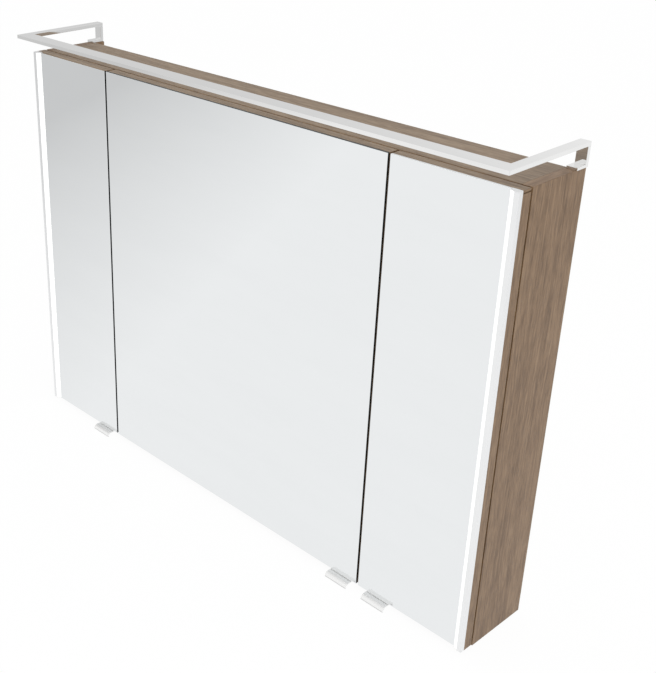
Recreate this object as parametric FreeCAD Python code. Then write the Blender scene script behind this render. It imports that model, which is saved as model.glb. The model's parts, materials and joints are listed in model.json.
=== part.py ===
"""Bathroom mirror cabinet with three mirror doors, door lights and a light canopy.

Sizes are in millimetres. The origin lies on the wall, midway between the two wall hanger holes.
X runs to the right as seen from the front, Y runs back into the wall and Z runs up.
"""
import FreeCAD
import Part
import math
import os
from collections import namedtuple

from FreeCAD import Vector

# Carcass boards
CABINET_WIDTH = 1000.0
CARCASS_HEIGHT = 700.0
SIDE_DEPTH = 117.0  # wall to the front edges of the carcass
PANEL = 16.0  # sides, top, bottom and partitions
SIDE_BAY = 200.0  # outer edge of the cabinet to the middle of a partition
REAR_SPACE = 19.0  # service space between the wall and the back panel
BACK_PANEL = 8.0
GROOVE = 6.0  # depth of the grooves that hold the back panel
HANGER_DROP = 60.0  # top of the carcass to the hanger holes

# Dowels, screws and pins
DOWEL_RADIUS = 4.0
DOWEL_IN_FACE = 10.0
DOWEL_IN_EDGE = 20.0
DOWEL_INSET = 20.0  # from the front edge and from the back panel
SCREW_RADIUS = 1.75
SCREW_HEAD_RADIUS = 3.5
SCREW_HEAD = 1.6
SCREW_BITE = 11.0  # depth of a wood screw in a board
SHORT_BITE = 5.0  # depth of a screw in the back panel or in a hinge plate
BACK_SCREWS = 3  # in each partition

# Glass shelves
SHELVES = 2  # in each compartment
SHELF_GLASS = 5.0
SHELF_FRONT_GAP = 10.0  # behind the front edges of the carcass
SHELF_BACK_GAP = 2.0
SHELF_SIDE_GAP = 2.0
SHELF_PIN_RADIUS = 2.5
SHELF_PIN_IN = 7.0
SHELF_PIN_OUT = 8.0
SHELF_PIN_INSET = 18.0  # from the front and rear edges of the glass

# Doors
DOOR_BOARD = 16.0
MIRROR = 4.0
DOOR_GAP = 3.0  # between carcass and door
DOOR_SPLIT = 4.0  # between neighbouring doors
DOOR_LIFT = 3.0  # door bottom above the underside of the carcass
BUMPER_RADIUS = 4.0
BUMPER_PLAY = 0.3
BUMPER_FROM_EDGE = 30.0

# Cup hinges, measured from the hinge edge and the back face of the door
HINGE_FROM_END = 100.0
HINGE_PIN_RADIUS = 1.25
HINGE_PIN_PLAY = 0.05
HINGE_PIN_SET = 0.2  # pin end short of the outer wall of the cup
CUP_FROM_EDGE = 20.5
CUP_RADIUS = 17.5
CUP_FRONT = 1.0  # board left in front of the cup
CUP_WALL = 1.0
CUP_FLOOR = 0.5
CUP_RIM = 1.0  # thickness and overlap of the rim
WING_REACH = 31.0
WING_WIDTH = 14.0
WING_SCREW = 24.0
ARM_FROM_EDGE = 23.25  # face of the arm that lies on the mounting plate
ARM_THICKNESS = 3.5
ARM_HEIGHT = 9.0
ARM_REACH = 58.0
ARM_SCREW_REACH = 46.0
EYE_RADIUS = 2.3
EYE_WALL_PLAY = 1.7  # eye of the arm to the wall of the cup
EYE_FLOOR_PLAY = 0.2  # eye of the arm to the floor of the cup
PLATE_BASE = 3.0
PLATE_BASE_HALF = 22.0
PLATE_BASE_START = 30.0
PLATE_BASE_END = 48.0
PLATE_RIDGE_HALF = 6.0
PLATE_RIDGE_START = 24.0
PLATE_RIDGE_END = 56.0
PLATE_SCREW = 16.0  # screws above and below the middle of the plate

# Light profiles on the outer edges of the left and right doors
PROFILE_WIDTH = 15.0
PROFILE_HEIGHT = 9.0
PROFILE_LIP = 8.0
PROFILE_WALL = 1.5
PROFILE_BASE = 1.2
PROFILE_CAP = 1.0
DIFFUSER = 1.3
LED_WIDTH = 8.0
LED_HEIGHT = 1.2

# Grip strips under the doors
GRIP_WIDTH = 43.0
GRIP_SHEET = 2.0
GRIP_FLANGE = 12.0  # back from the door's front face
GRIP_STEP = 1.3  # slot between mirror and lip
GRIP_REACH = 13.0  # beyond the mirror
GRIP_CURL = 8.0  # outer radius of the lip's curl
GRIP_SCREW = 10.0  # screws to the left and right of the middle
GRIP_LEFT = 33.5  # middle of each strip from the free edge of its door
GRIP_CENTRE = 31.0
GRIP_RIGHT = 39.0

# Light canopy
CANOPY_REACH = 175.0  # wall to the front of the bar
CANOPY_OVERHANG = 2.0  # beyond the side panels
CANOPY_RISE = 27.5  # top panel to the underside of the bar
FRONT_BAR_WIDTH = 25.0
BAR_WIDTH = 15.5
BAR_HEIGHT = 6.0
FOOT_LENGTH = 24.5
FOOT_HEIGHT = 4.0
UPRIGHT = 6.0
CANOPY_PIN_RADIUS = 1.5
FOOT_PIN_INSET = 5.0
FOOT_PIN_PITCH = 9.0
FOOT_PIN_UP = 3.0
FOOT_PIN_DOWN = 20.0
ARM_PIN_UP = 3.5
ARM_PIN_DOWN = 8.0
CORNER_PIN = 14.0
CHANNEL_WIDTH = 12.0
CHANNEL_DEPTH = 3.5
CHANNEL_INSET = 30.0  # from the ends of the front bar
CANOPY_DIFFUSER = 1.5

# Wall hangers and the caps over their access holes
HANGER_FROM_SIDE = 40.0  # hanger hole to the outer face of the side panel
HANGER_HOLE = 4.5
HANGER_SHEET = 2.0
HANGER_WALL_LEG = 40.0
HANGER_CLEARANCE = 1.0  # side leg to the back panel
HANGER_HALF = 25.0
HANGER_SCREW = 15.0
CAP_RADIUS = 13.0
CAP_PLUG = 6.0
CAP_FLANGE_RADIUS = 15.0
CAP_FLANGE = 2.0

# Light driver and cable grommet in the back panel
DRIVER_WIDTH = 160.0
DRIVER_DEPTH = 15.0
DRIVER_HEIGHT = 40.0
DRIVER_BELOW = 60.0  # below the hanger holes
EAR_LENGTH = 12.0
EAR_HEIGHT = 20.0
EAR_SHEET = 3.0
GROMMET_FROM_DRIVER = 28.0  # middle of the grommet to the driver's ear
GROMMET_BORE = 5.0
GROMMET_RADIUS = 9.0
GROMMET_FLANGE_RADIUS = 12.0
GROMMET_FLANGE = 1.5

# Switch box under the top panel
SWITCH_WIDTH = 60.0
SWITCH_DEPTH = 30.0
SWITCH_HEIGHT = 25.0
SWITCH_FROM_PARTITION = 30.0
SWITCH_SET_BACK = 5.0  # behind the front edges of the carcass
ROCKER_WIDTH = 20.0
ROCKER_HALF = 6.6
ROCKER_BACK_HALF = 5.0
ROCKER_CROWN = 4.9  # ends of the rocker in front of its pivot
ROCKER_DIP = 0.7  # hollow in the middle of the rocker
ROCKER_BACK = 2.0
ROCKER_SET = 2.5  # pivot behind the front of the box
ROCKER_TILT = 6.0
ROCKER_SIDE_PLAY = 0.4
WINDOW_HALF = 7.5
WINDOW_DEPTH = 9.0
AXLE_RADIUS = 1.2
AXLE_PLAY = 0.05
AXLE_LENGTH = 2.5
AXLE_END_PLAY = 0.4

# Planes and places that follow from these sizes
RIGHT = CABINET_WIDTH / 2
INNER = RIGHT - PANEL
SPLIT = RIGHT - SIDE_BAY
TOP = HANGER_DROP
BOTTOM = TOP - CARCASS_HEIGHT
FLOOR = BOTTOM + PANEL
CEILING = TOP - PANEL
FRONT = -SIDE_DEPTH
BACK_REAR = -REAR_SPACE
BACK_FRONT = BACK_REAR - BACK_PANEL
DOOR_BACK = FRONT - DOOR_GAP
DOOR_FACE = DOOR_BACK - DOOR_BOARD
DOOR_BOTTOM = BOTTOM + DOOR_LIFT
CUP_DEPTH = DOOR_BOARD - CUP_FRONT
PIVOT_FROM_EDGE = CUP_FROM_EDGE - CUP_RADIUS + CUP_WALL + EYE_WALL_PLAY + EYE_RADIUS
PIVOT_DEPTH = CUP_DEPTH - CUP_FLOOR - EYE_FLOOR_PLAY - EYE_RADIUS
CANOPY_LOW = TOP + CANOPY_RISE
CANOPY_OUTER = RIGHT + CANOPY_OVERHANG
CANOPY_INNER = CANOPY_OUTER - BAR_WIDTH
CANOPY_FRONT = -CANOPY_REACH
CANOPY_FRONT_REAR = CANOPY_FRONT + FRONT_BAR_WIDTH
HANGER_X = RIGHT - HANGER_FROM_SIDE
HANGER_SIDE_LEG = REAR_SPACE - HANGER_CLEARANCE
EAR_END = DRIVER_WIDTH / 2 + EAR_LENGTH
DOWEL_ROWS = (FRONT + DOWEL_INSET, BACK_FRONT - DOWEL_INSET)

ALONG_X = Vector(1, 0, 0)
ALONG_Y = Vector(0, 1, 0)
ALONG_Z = Vector(0, 0, 1)

# A door: its left and right edge, +1 or -1 for a hinge on the left or right edge, the distance of
# the carrying panel's face from that edge, the place of its grip strip and whether it has a light.
Door = namedtuple("Door", "name left right hinge panel_face grip lit")
DOORS = (
    Door("left", -RIGHT, -SPLIT - DOOR_SPLIT / 2, 1, PANEL, GRIP_LEFT, True),
    Door("centre", -SPLIT + DOOR_SPLIT / 2, SPLIT - DOOR_SPLIT / 2, 1, (PANEL - DOOR_SPLIT) / 2,
         GRIP_CENTRE, False),
    Door("right", SPLIT + DOOR_SPLIT / 2, RIGHT, -1, PANEL, GRIP_RIGHT, True),
)


def block(x, y, z):
    """Box between two values on each axis, given in either order."""
    pairs = (x, y, z)
    size = [abs(high - low) for low, high in pairs]
    return Part.makeBox(*size, Vector(*[min(pair) for pair in pairs]))


def rod(start, direction, radius, length):
    """Round rod from the start point along the direction."""
    return Part.makeCylinder(radius, length, start, direction)


def prism(points, shift):
    """Straight solid: a closed outline of points carried along the shift."""
    return Part.Face(Part.makePolygon(points + points[:1])).extrude(shift)


def screw(seat, direction, clamped, bite):
    """Screw with its head on the seat: the shank passes the clamped sheet and bites beyond it."""
    shank = rod(seat, direction, SCREW_RADIUS, clamped + bite)
    return shank.fuse(rod(seat, direction * -1, SCREW_HEAD_RADIUS, SCREW_HEAD))


def drilled(piece, fixings):
    """The piece with room for each fixing that reaches it."""
    near = [fixing for fixing in fixings if fixing.BoundBox.intersect(piece.BoundBox)]
    return piece.cut(near) if near else piece


def save(node, shapes):
    """Write all solids of one node into its file."""
    solids = [solid for shape in shapes for solid in shape.Solids]
    whole = solids[0] if len(solids) == 1 else Part.makeCompound(solids)
    whole.exportStep("parts/%s.step" % node)


def evenly(low, high, count):
    """Places that divide a span into equal steps, without its ends."""
    return [low + (high - low) * (place + 1) / (count + 1) for place in range(count)]


def from_hinge(door, distance):
    """X at a distance from the hinge edge of the door."""
    return door.left + distance if door.hinge > 0 else door.right - distance


def from_free_edge(door, distance):
    """X at a distance from the edge of the door that swings out."""
    return from_hinge(door, door.right - door.left - distance)


def hinge_heights():
    return DOOR_BOTTOM + HINGE_FROM_END, TOP - HINGE_FROM_END


# Carcass

def carcass_dowels():
    """Two dowels at each corner of the carcass and at each end of the partitions."""
    dowels = []
    length = DOWEL_IN_FACE + DOWEL_IN_EDGE
    for y in DOWEL_ROWS:
        for z in (BOTTOM + PANEL / 2, TOP - PANEL / 2):
            for side in (-1, 1):
                start = Vector(side * (INNER + DOWEL_IN_FACE), y, z)
                dowels.append(rod(start, ALONG_X * -side, DOWEL_RADIUS, length))
        for x in (-SPLIT, SPLIT):
            dowels.append(rod(Vector(x, y, FLOOR - DOWEL_IN_FACE), ALONG_Z, DOWEL_RADIUS, length))
            dowels.append(rod(Vector(x, y, CEILING + DOWEL_IN_FACE), ALONG_Z * -1, DOWEL_RADIUS, length))
    return dowels


def back_screws():
    """Screws through the back panel into the rear edges of the partitions."""
    return [
        screw(Vector(x, BACK_REAR, z), ALONG_Y * -1, BACK_PANEL, SCREW_BITE)
        for x in (-SPLIT, SPLIT)
        for z in evenly(FLOOR, CEILING, BACK_SCREWS)
    ]


def back_panel_blank():
    half = INNER + GROOVE
    return block((-half, half), (BACK_FRONT, BACK_REAR), (FLOOR - GROOVE, CEILING + GROOVE))


def save_carcass(fixings):
    """Boards of the carcass; grooves in the outer boards hold the back panel."""
    back = back_panel_blank()
    for name, side in (("left", -1), ("right", 1)):
        outer = block((side * INNER, side * RIGHT), (FRONT, 0), (BOTTOM, TOP))
        save("side_panel_" + name, [drilled(outer, fixings + [back])])
        middle = side * SPLIT
        edges = (middle - PANEL / 2, middle + PANEL / 2)
        partition = block(edges, (FRONT, BACK_FRONT), (FLOOR, CEILING))
        save("partition_" + name, [drilled(partition, fixings)])
    for name, heights in (("top_panel", (CEILING, TOP)), ("bottom_panel", (BOTTOM, FLOOR))):
        board = block((-INNER, INNER), (FRONT, BACK_REAR), heights)
        save(name, [drilled(board, fixings + [back])])
    grommet_hole = rod(grommet_start(), ALONG_Y, GROMMET_RADIUS, BACK_PANEL + 2 * GROMMET_FLANGE)
    save("back_panel", [drilled(back, fixings + [grommet_hole])])


# Glass shelves

def compartments():
    """Left and right inner face of each compartment."""
    half = PANEL / 2
    return (-INNER, -SPLIT - half), (-SPLIT + half, SPLIT - half), (SPLIT + half, INNER)


def shelf_undersides():
    space = (CEILING - FLOOR - SHELVES * SHELF_GLASS) / (SHELVES + 1)
    return [FLOOR + space + shelf * (space + SHELF_GLASS) for shelf in range(SHELVES)]


def shelf_edges():
    """Front and rear edge of the glass."""
    return FRONT + SHELF_FRONT_GAP, BACK_FRONT - SHELF_BACK_GAP


def glass_shelves():
    return [
        block((left + SHELF_SIDE_GAP, right - SHELF_SIDE_GAP), shelf_edges(), (z, z + SHELF_GLASS))
        for left, right in compartments()
        for z in shelf_undersides()
    ]


def shelf_pins():
    """Four pins under each shelf, set in the boards beside it."""
    front, rear = shelf_edges()
    pins = []
    for left, right in compartments():
        for wall, inwards in ((left, 1), (right, -1)):
            for y in (front + SHELF_PIN_INSET, rear - SHELF_PIN_INSET):
                for z in shelf_undersides():
                    start = Vector(wall - inwards * SHELF_PIN_IN, y, z - SHELF_PIN_RADIUS)
                    length = SHELF_PIN_IN + SHELF_PIN_OUT
                    pins.append(rod(start, ALONG_X * inwards, SHELF_PIN_RADIUS, length))
    return pins


# Hinges

def hinge_outline(door, points, height):
    """Outline of a hinge piece at a height, from distances to hinge edge and door back."""
    return [Vector(from_hinge(door, across), DOOR_BACK + depth, height) for across, depth in points]


def hinge_plate(door, height, screws):
    """Mounting plate on the carrying panel: a long base and a ridge that takes the arm."""
    face = from_hinge(door, door.panel_face)
    base = block(
        (face, from_hinge(door, door.panel_face + PLATE_BASE)),
        (DOOR_BACK + PLATE_BASE_START, DOOR_BACK + PLATE_BASE_END),
        (height - PLATE_BASE_HALF, height + PLATE_BASE_HALF),
    )
    ridge = block(
        (face, from_hinge(door, ARM_FROM_EDGE)),
        (DOOR_BACK + PLATE_RIDGE_START, DOOR_BACK + PLATE_RIDGE_END),
        (height - PLATE_RIDGE_HALF, height + PLATE_RIDGE_HALF),
    )
    return drilled(base.fuse(ridge), screws)


def hinge_screws(door):
    """Two screws from each plate into its panel and one from each arm into its plate."""
    into_panel = ALONG_X * -door.hinge
    plate_x = from_hinge(door, door.panel_face + PLATE_BASE)
    plate_y = DOOR_BACK + (PLATE_BASE_START + PLATE_BASE_END) / 2
    arm_x = from_hinge(door, ARM_FROM_EDGE + ARM_THICKNESS)
    screws = []
    for height in hinge_heights():
        for offset in (-PLATE_SCREW, PLATE_SCREW):
            seat = Vector(plate_x, plate_y, height + offset)
            screws.append(screw(seat, into_panel, PLATE_BASE, SCREW_BITE))
        seat = Vector(arm_x, DOOR_BACK + ARM_SCREW_REACH, height)
        screws.append(screw(seat, into_panel, ARM_THICKNESS, SHORT_BITE))
    return screws


def hinge_arm(door, height, screws):
    """Cranked arm from the mounting plate into the cup, with an eye round the hinge pin."""
    half = ARM_THICKNESS / 2
    outer = ARM_FROM_EDGE + ARM_THICKNESS
    low = height - ARM_HEIGHT / 2
    crank = [
        (PIVOT_FROM_EDGE, -PIVOT_DEPTH - half),
        (outer, -PIVOT_DEPTH - half),
        (outer, ARM_REACH),
        (ARM_FROM_EDGE, ARM_REACH),
        (ARM_FROM_EDGE, -PIVOT_DEPTH + half),
        (PIVOT_FROM_EDGE, -PIVOT_DEPTH + half),
    ]
    arm = prism(hinge_outline(door, crank, low), ALONG_Z * ARM_HEIGHT)
    pivot = hinge_outline(door, [(PIVOT_FROM_EDGE, -PIVOT_DEPTH)], low)[0]
    eye = rod(pivot, ALONG_Z, EYE_RADIUS, ARM_HEIGHT)
    hole = rod(pivot, ALONG_Z, HINGE_PIN_RADIUS + HINGE_PIN_PLAY, ARM_HEIGHT)
    return drilled(arm.fuse(eye).cut(hole), screws)


def hinge_pin(door, height):
    """Pin across the cup, with its ends in the cup's wall."""
    offset = CUP_FROM_EDGE - PIVOT_FROM_EDGE + HINGE_PIN_RADIUS
    half = math.sqrt(CUP_RADIUS ** 2 - offset ** 2) - HINGE_PIN_SET
    start = hinge_outline(door, [(PIVOT_FROM_EDGE, -PIVOT_DEPTH)], height - half)[0]
    return rod(start, ALONG_Z, HINGE_PIN_RADIUS, 2 * half)


def cup_bore(door, height, radius, depth):
    """Round space that opens at the back face of the door."""
    centre = Vector(from_hinge(door, CUP_FROM_EDGE), DOOR_BACK - depth, height)
    return rod(centre, ALONG_Y, radius, depth)


def hinge_cup(door, height, fixings):
    """Cup sunk in the door, with a rim and two screwed wings on the door's back face."""
    centre = Vector(from_hinge(door, CUP_FROM_EDGE), DOOR_BACK, height)
    half = WING_WIDTH / 2
    rim = rod(centre, ALONG_Y, CUP_RADIUS + CUP_RIM, CUP_RIM)
    wings = block(
        (centre.x - half, centre.x + half),
        (DOOR_BACK, DOOR_BACK + CUP_RIM),
        (height - WING_REACH, height + WING_REACH),
    )
    depth = CUP_DEPTH - CUP_FLOOR
    hollow = rod(centre - ALONG_Y * depth, ALONG_Y, CUP_RADIUS - CUP_WALL, depth + CUP_RIM)
    cup = cup_bore(door, height, CUP_RADIUS, CUP_DEPTH).fuse([rim, wings]).cut(hollow)
    return drilled(cup, fixings)


def cup_screws(door):
    x = from_hinge(door, CUP_FROM_EDGE)
    return [
        screw(Vector(x, DOOR_BACK + CUP_RIM, height + offset), ALONG_Y * -1, CUP_RIM, SCREW_BITE)
        for height in hinge_heights()
        for offset in (-WING_SCREW, WING_SCREW)
    ]


def save_hinge_plates_and_arms(screws):
    """Hinge pieces that stay on the carcass."""
    places = [(door, height) for door in DOORS for height in hinge_heights()]
    save("hinge_plates", [hinge_plate(door, height, screws) for door, height in places])
    save("hinge_arms", [hinge_arm(door, height, screws) for door, height in places])
    save("hinge_screws", screws)


# Doors

def grip_strip(door):
    """Bent strip under the door: a flange, a step down under the mirror and a lip that curls down."""
    left = from_free_edge(door, door.grip) - GRIP_WIDTH / 2
    tip = MIRROR + GRIP_REACH
    middle = tip - GRIP_CURL
    end = -GRIP_STEP - GRIP_CURL
    inner = GRIP_CURL - GRIP_SHEET

    def spot(reach, rise):
        return Vector(left, DOOR_FACE - reach, DOOR_BOTTOM + rise)

    def curl(radius):
        slant = radius * math.sqrt(0.5)
        half_way = spot(middle + slant, end + slant)
        return Part.Arc(spot(middle, end + radius), half_way, spot(middle + radius, end)).toShape()

    upper = Part.makePolygon([
        spot(middle, end + inner),
        spot(-GRIP_SHEET, end + inner),
        spot(-GRIP_SHEET, -GRIP_SHEET),
        spot(-GRIP_FLANGE, -GRIP_SHEET),
        spot(-GRIP_FLANGE, 0),
        spot(0, 0),
        spot(0, -GRIP_STEP),
        spot(middle, -GRIP_STEP),
    ])
    front = Part.makeLine(spot(tip, end), spot(tip - GRIP_SHEET, end))
    outline = Part.Wire(upper.Edges + [curl(GRIP_CURL), front, curl(inner)])
    return Part.Face(outline).extrude(ALONG_X * GRIP_WIDTH)


def grip_screws(door):
    x = from_free_edge(door, door.grip)
    y = DOOR_FACE + DOOR_BOARD / 2
    z = DOOR_BOTTOM - GRIP_SHEET
    return [
        screw(Vector(x + offset, y, z), ALONG_Z, GRIP_SHEET, SCREW_BITE)
        for offset in (-GRIP_SCREW, GRIP_SCREW)
    ]


def door_bumpers(door):
    """Soft stops on the door's back, in front of the top and bottom panels."""
    x = from_free_edge(door, BUMPER_FROM_EDGE)
    return [
        rod(Vector(x, DOOR_BACK, z), ALONG_Y, BUMPER_RADIUS, DOOR_GAP - BUMPER_PLAY)
        for z in (BOTTOM + PANEL / 2, TOP - PANEL / 2)
    ]


def profile_prism(door, section, low, high):
    """Upright solid from a section of distances to the hinge edge and to the door's front face."""
    points = [Vector(from_hinge(door, across), DOOR_FACE - rise, low) for across, rise in section]
    return prism(points, ALONG_Z * (high - low))


def save_door_light(door):
    """Light profile: an aluminium channel with a slanted opal diffuser, light strip and end caps."""
    slant = Vector(PROFILE_WIDTH - PROFILE_LIP, MIRROR - PROFILE_HEIGHT, 0).normalize()
    inwards = Vector(slant.y, -slant.x, 0)
    lip_end = Vector(PROFILE_LIP, PROFILE_HEIGHT, 0)
    wall_end = Vector(PROFILE_WIDTH, MIRROR, 0)
    lip_inner = lip_end + inwards * (PROFILE_WALL / abs(inwards.y))
    wall_inner = wall_end + inwards * (PROFILE_WALL / abs(inwards.x))
    outline = [
        (0, 0),
        (0, PROFILE_HEIGHT),
        (lip_end.x, lip_end.y),
        (wall_end.x, wall_end.y),
        (PROFILE_WIDTH, 0),
    ]
    channel = outline[:3] + [
        (lip_inner.x, lip_inner.y),
        (PROFILE_WALL, lip_inner.y),
        (PROFILE_WALL, PROFILE_BASE),
        (wall_inner.x, PROFILE_BASE),
        (wall_inner.x, wall_inner.y),
    ] + outline[3:]
    corners = (lip_end, wall_end, wall_end + inwards * DIFFUSER, lip_end + inwards * DIFFUSER)
    diffuser = [(corner.x, corner.y) for corner in corners]
    led_left = (PROFILE_WIDTH - LED_WIDTH) / 2
    led_edges = (from_hinge(door, led_left), from_hinge(door, led_left + LED_WIDTH))
    led_faces = (DOOR_FACE - PROFILE_BASE, DOOR_FACE - PROFILE_BASE - LED_HEIGHT)
    low = DOOR_BOTTOM + PROFILE_CAP
    high = TOP - PROFILE_CAP
    ends = ((DOOR_BOTTOM, low), (high, TOP))
    save("light_profile_" + door.name, [profile_prism(door, channel, low, high)])
    save("light_diffuser_" + door.name, [profile_prism(door, diffuser, low, high)])
    save("light_strip_" + door.name, [block(led_edges, led_faces, (low, high))])
    save("profile_end_caps_" + door.name, [profile_prism(door, outline, *end) for end in ends])


def save_door(door):
    """A door board with its mirror, hinge cups and pins, grip strip and bumpers."""
    screws = cup_screws(door) + grip_screws(door)
    pins = [hinge_pin(door, height) for height in hinge_heights()]
    bores = [cup_bore(door, height, CUP_RADIUS, CUP_DEPTH) for height in hinge_heights()]
    board = block((door.left, door.right), (DOOR_FACE, DOOR_BACK), (DOOR_BOTTOM, TOP))
    mirror_edges = (from_hinge(door, PROFILE_WIDTH if door.lit else 0), from_free_edge(door, 0))
    mirror = block(mirror_edges, (DOOR_FACE - MIRROR, DOOR_FACE), (DOOR_BOTTOM, TOP))
    save("door_board_" + door.name, [drilled(board, screws + bores)])
    save("door_mirror_" + door.name, [mirror])
    save("hinge_cups_" + door.name, [hinge_cup(door, height, screws + pins) for height in hinge_heights()])
    save("hinge_pins_" + door.name, pins)
    save("door_screws_" + door.name, screws)
    save("grip_strip_" + door.name, [drilled(grip_strip(door), screws)])
    save("door_bumpers_" + door.name, door_bumpers(door))
    if door.lit:
        save_door_light(door)


# Light canopy

def canopy_pins():
    """Hidden pins: foot to side panel, upright to arm, and one across each mitred corner."""
    pins = []
    mitre = Vector((CANOPY_OUTER + CANOPY_INNER) / 2, (CANOPY_FRONT + CANOPY_FRONT_REAR) / 2, 0)
    for side in (-1, 1):
        for row in range(2):
            y = -FOOT_PIN_INSET - row * FOOT_PIN_PITCH
            start = Vector(side * (INNER + PANEL / 2), y, TOP - FOOT_PIN_DOWN)
            pins.append(rod(start, ALONG_Z, CANOPY_PIN_RADIUS, FOOT_PIN_DOWN + FOOT_PIN_UP))
        start = Vector(side * mitre.x, -UPRIGHT / 2, CANOPY_LOW - ARM_PIN_DOWN)
        pins.append(rod(start, ALONG_Z, CANOPY_PIN_RADIUS, ARM_PIN_DOWN + ARM_PIN_UP))
        across = Vector(side, 1, 0).normalize()
        middle = Vector(side * mitre.x, mitre.y, CANOPY_LOW + BAR_HEIGHT / 2)
        pins.append(rod(middle - across * (CORNER_PIN / 2), across, CANOPY_PIN_RADIUS, CORNER_PIN))
    return pins


def canopy_bar(corners):
    """Flat bar of the canopy over an outline given by X and Y."""
    return prism([Vector(x, y, CANOPY_LOW) for x, y in corners], ALONG_Z * BAR_HEIGHT)


def canopy_bracket(side):
    """Foot on the side panel and upright that carries the arm."""
    foot_top = TOP + FOOT_HEIGHT
    section = [
        (-FOOT_LENGTH, TOP),
        (0, TOP),
        (0, CANOPY_LOW),
        (-UPRIGHT, CANOPY_LOW),
        (-UPRIGHT, foot_top),
        (-FOOT_LENGTH, foot_top),
    ]
    points = [Vector(side * CANOPY_INNER, y, z) for y, z in section]
    return prism(points, ALONG_X * side * BAR_WIDTH)


def save_canopy(pins):
    """Mitred frame of polished flat bar on two brackets, with a light strip under the front bar."""
    half = CANOPY_OUTER - CHANNEL_INSET
    middle = (CANOPY_FRONT + CANOPY_FRONT_REAR) / 2
    channel_edges = (middle - CHANNEL_WIDTH / 2, middle + CHANNEL_WIDTH / 2)
    led_edges = (middle - LED_WIDTH / 2, middle + LED_WIDTH / 2)
    ceiling = CANOPY_LOW + CHANNEL_DEPTH
    channel = block((-half, half), channel_edges, (CANOPY_LOW, ceiling))
    front = canopy_bar([
        (-CANOPY_OUTER, CANOPY_FRONT),
        (CANOPY_OUTER, CANOPY_FRONT),
        (CANOPY_INNER, CANOPY_FRONT_REAR),
        (-CANOPY_INNER, CANOPY_FRONT_REAR),
    ])
    save("canopy_front_bar", [drilled(front.cut(channel), pins)])
    for name, side in (("left", -1), ("right", 1)):
        arm = canopy_bar([
            (side * CANOPY_OUTER, CANOPY_FRONT),
            (side * CANOPY_OUTER, 0),
            (side * CANOPY_INNER, 0),
            (side * CANOPY_INNER, CANOPY_FRONT_REAR),
        ])
        save("canopy_arm_" + name, [drilled(arm, pins)])
        save("canopy_bracket_" + name, [drilled(canopy_bracket(side), pins)])
    diffuser_faces = (CANOPY_LOW, CANOPY_LOW + CANOPY_DIFFUSER)
    save("canopy_light_strip", [block((-half, half), led_edges, (ceiling - LED_HEIGHT, ceiling))])
    save("canopy_diffuser", [block((-half, half), channel_edges, diffuser_faces)])
    save("canopy_pins", pins)


# Wall hangers, light driver and cable grommet in the service space

def hanger_screws():
    """Screws from the hanger legs into the inner faces of the side panels."""
    x = INNER - HANGER_SHEET
    y = -HANGER_SIDE_LEG / 2
    return [
        screw(Vector(side * x, y, z), ALONG_X * side, HANGER_SHEET, SCREW_BITE)
        for side in (-1, 1)
        for z in (-HANGER_SCREW, HANGER_SCREW)
    ]


def wall_hanger(side, screws):
    """Steel angle: one leg on the side panel, one on the wall with the hole for the wall bolt."""
    heights = (-HANGER_HALF, HANGER_HALF)
    side_leg = block((side * INNER, side * (INNER - HANGER_SHEET)), (-HANGER_SIDE_LEG, 0), heights)
    wall_leg = block((side * INNER, side * (INNER - HANGER_WALL_LEG)), (-HANGER_SHEET, 0), heights)
    hole = rod(Vector(side * HANGER_X, -HANGER_SHEET, 0), ALONG_Y, HANGER_HOLE, HANGER_SHEET)
    return drilled(side_leg.fuse(wall_leg).cut(hole), screws)


def access_caps():
    """Caps in the holes of the back panel through which the wall bolts are reached."""
    caps = []
    for side in (-1, 1):
        centre = Vector(side * HANGER_X, BACK_FRONT, 0)
        plug = rod(centre, ALONG_Y, CAP_RADIUS, CAP_PLUG)
        flange = rod(centre, ALONG_Y * -1, CAP_FLANGE_RADIUS, CAP_FLANGE)
        caps.append(plug.fuse(flange))
    return caps


def access_holes():
    return [
        rod(Vector(side * HANGER_X, BACK_FRONT, 0), ALONG_Y, CAP_RADIUS, BACK_PANEL)
        for side in (-1, 1)
    ]


def driver_screws():
    x = EAR_END - EAR_LENGTH / 2
    y = BACK_REAR + EAR_SHEET
    return [
        screw(Vector(side * x, y, -DRIVER_BELOW), ALONG_Y * -1, EAR_SHEET, SHORT_BITE)
        for side in (-1, 1)
    ]


def light_driver(screws):
    """Driver housing on the rear of the back panel, with a screwed ear at each end."""
    middle = -DRIVER_BELOW
    housing = block(
        (-DRIVER_WIDTH / 2, DRIVER_WIDTH / 2),
        (BACK_REAR, BACK_REAR + DRIVER_DEPTH),
        (middle - DRIVER_HEIGHT / 2, middle + DRIVER_HEIGHT / 2),
    )
    ears = block(
        (-EAR_END, EAR_END),
        (BACK_REAR, BACK_REAR + EAR_SHEET),
        (middle - EAR_HEIGHT / 2, middle + EAR_HEIGHT / 2),
    )
    return drilled(housing.fuse(ears), screws)


def grommet_start():
    """Front end of the grommet's axis."""
    return Vector(EAR_END + GROMMET_FROM_DRIVER, BACK_FRONT - GROMMET_FLANGE, -DRIVER_BELOW)


def cable_grommet():
    """Sleeve through the back panel with a flange on each face."""
    start = grommet_start()
    length = BACK_PANEL + 2 * GROMMET_FLANGE
    sleeve = rod(start, ALONG_Y, GROMMET_RADIUS, length)
    rear = start + ALONG_Y * (length - GROMMET_FLANGE)
    flanges = [rod(end, ALONG_Y, GROMMET_FLANGE_RADIUS, GROMMET_FLANGE) for end in (start, rear)]
    return sleeve.fuse(flanges).cut(rod(start, ALONG_Y, GROMMET_BORE, length))


# Switch

def switch_middle():
    """Middle of the switch box, on its front face."""
    x = SPLIT + PANEL / 2 + SWITCH_FROM_PARTITION + SWITCH_WIDTH / 2
    return Vector(x, FRONT + SWITCH_SET_BACK, CEILING - SWITCH_HEIGHT / 2)


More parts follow.
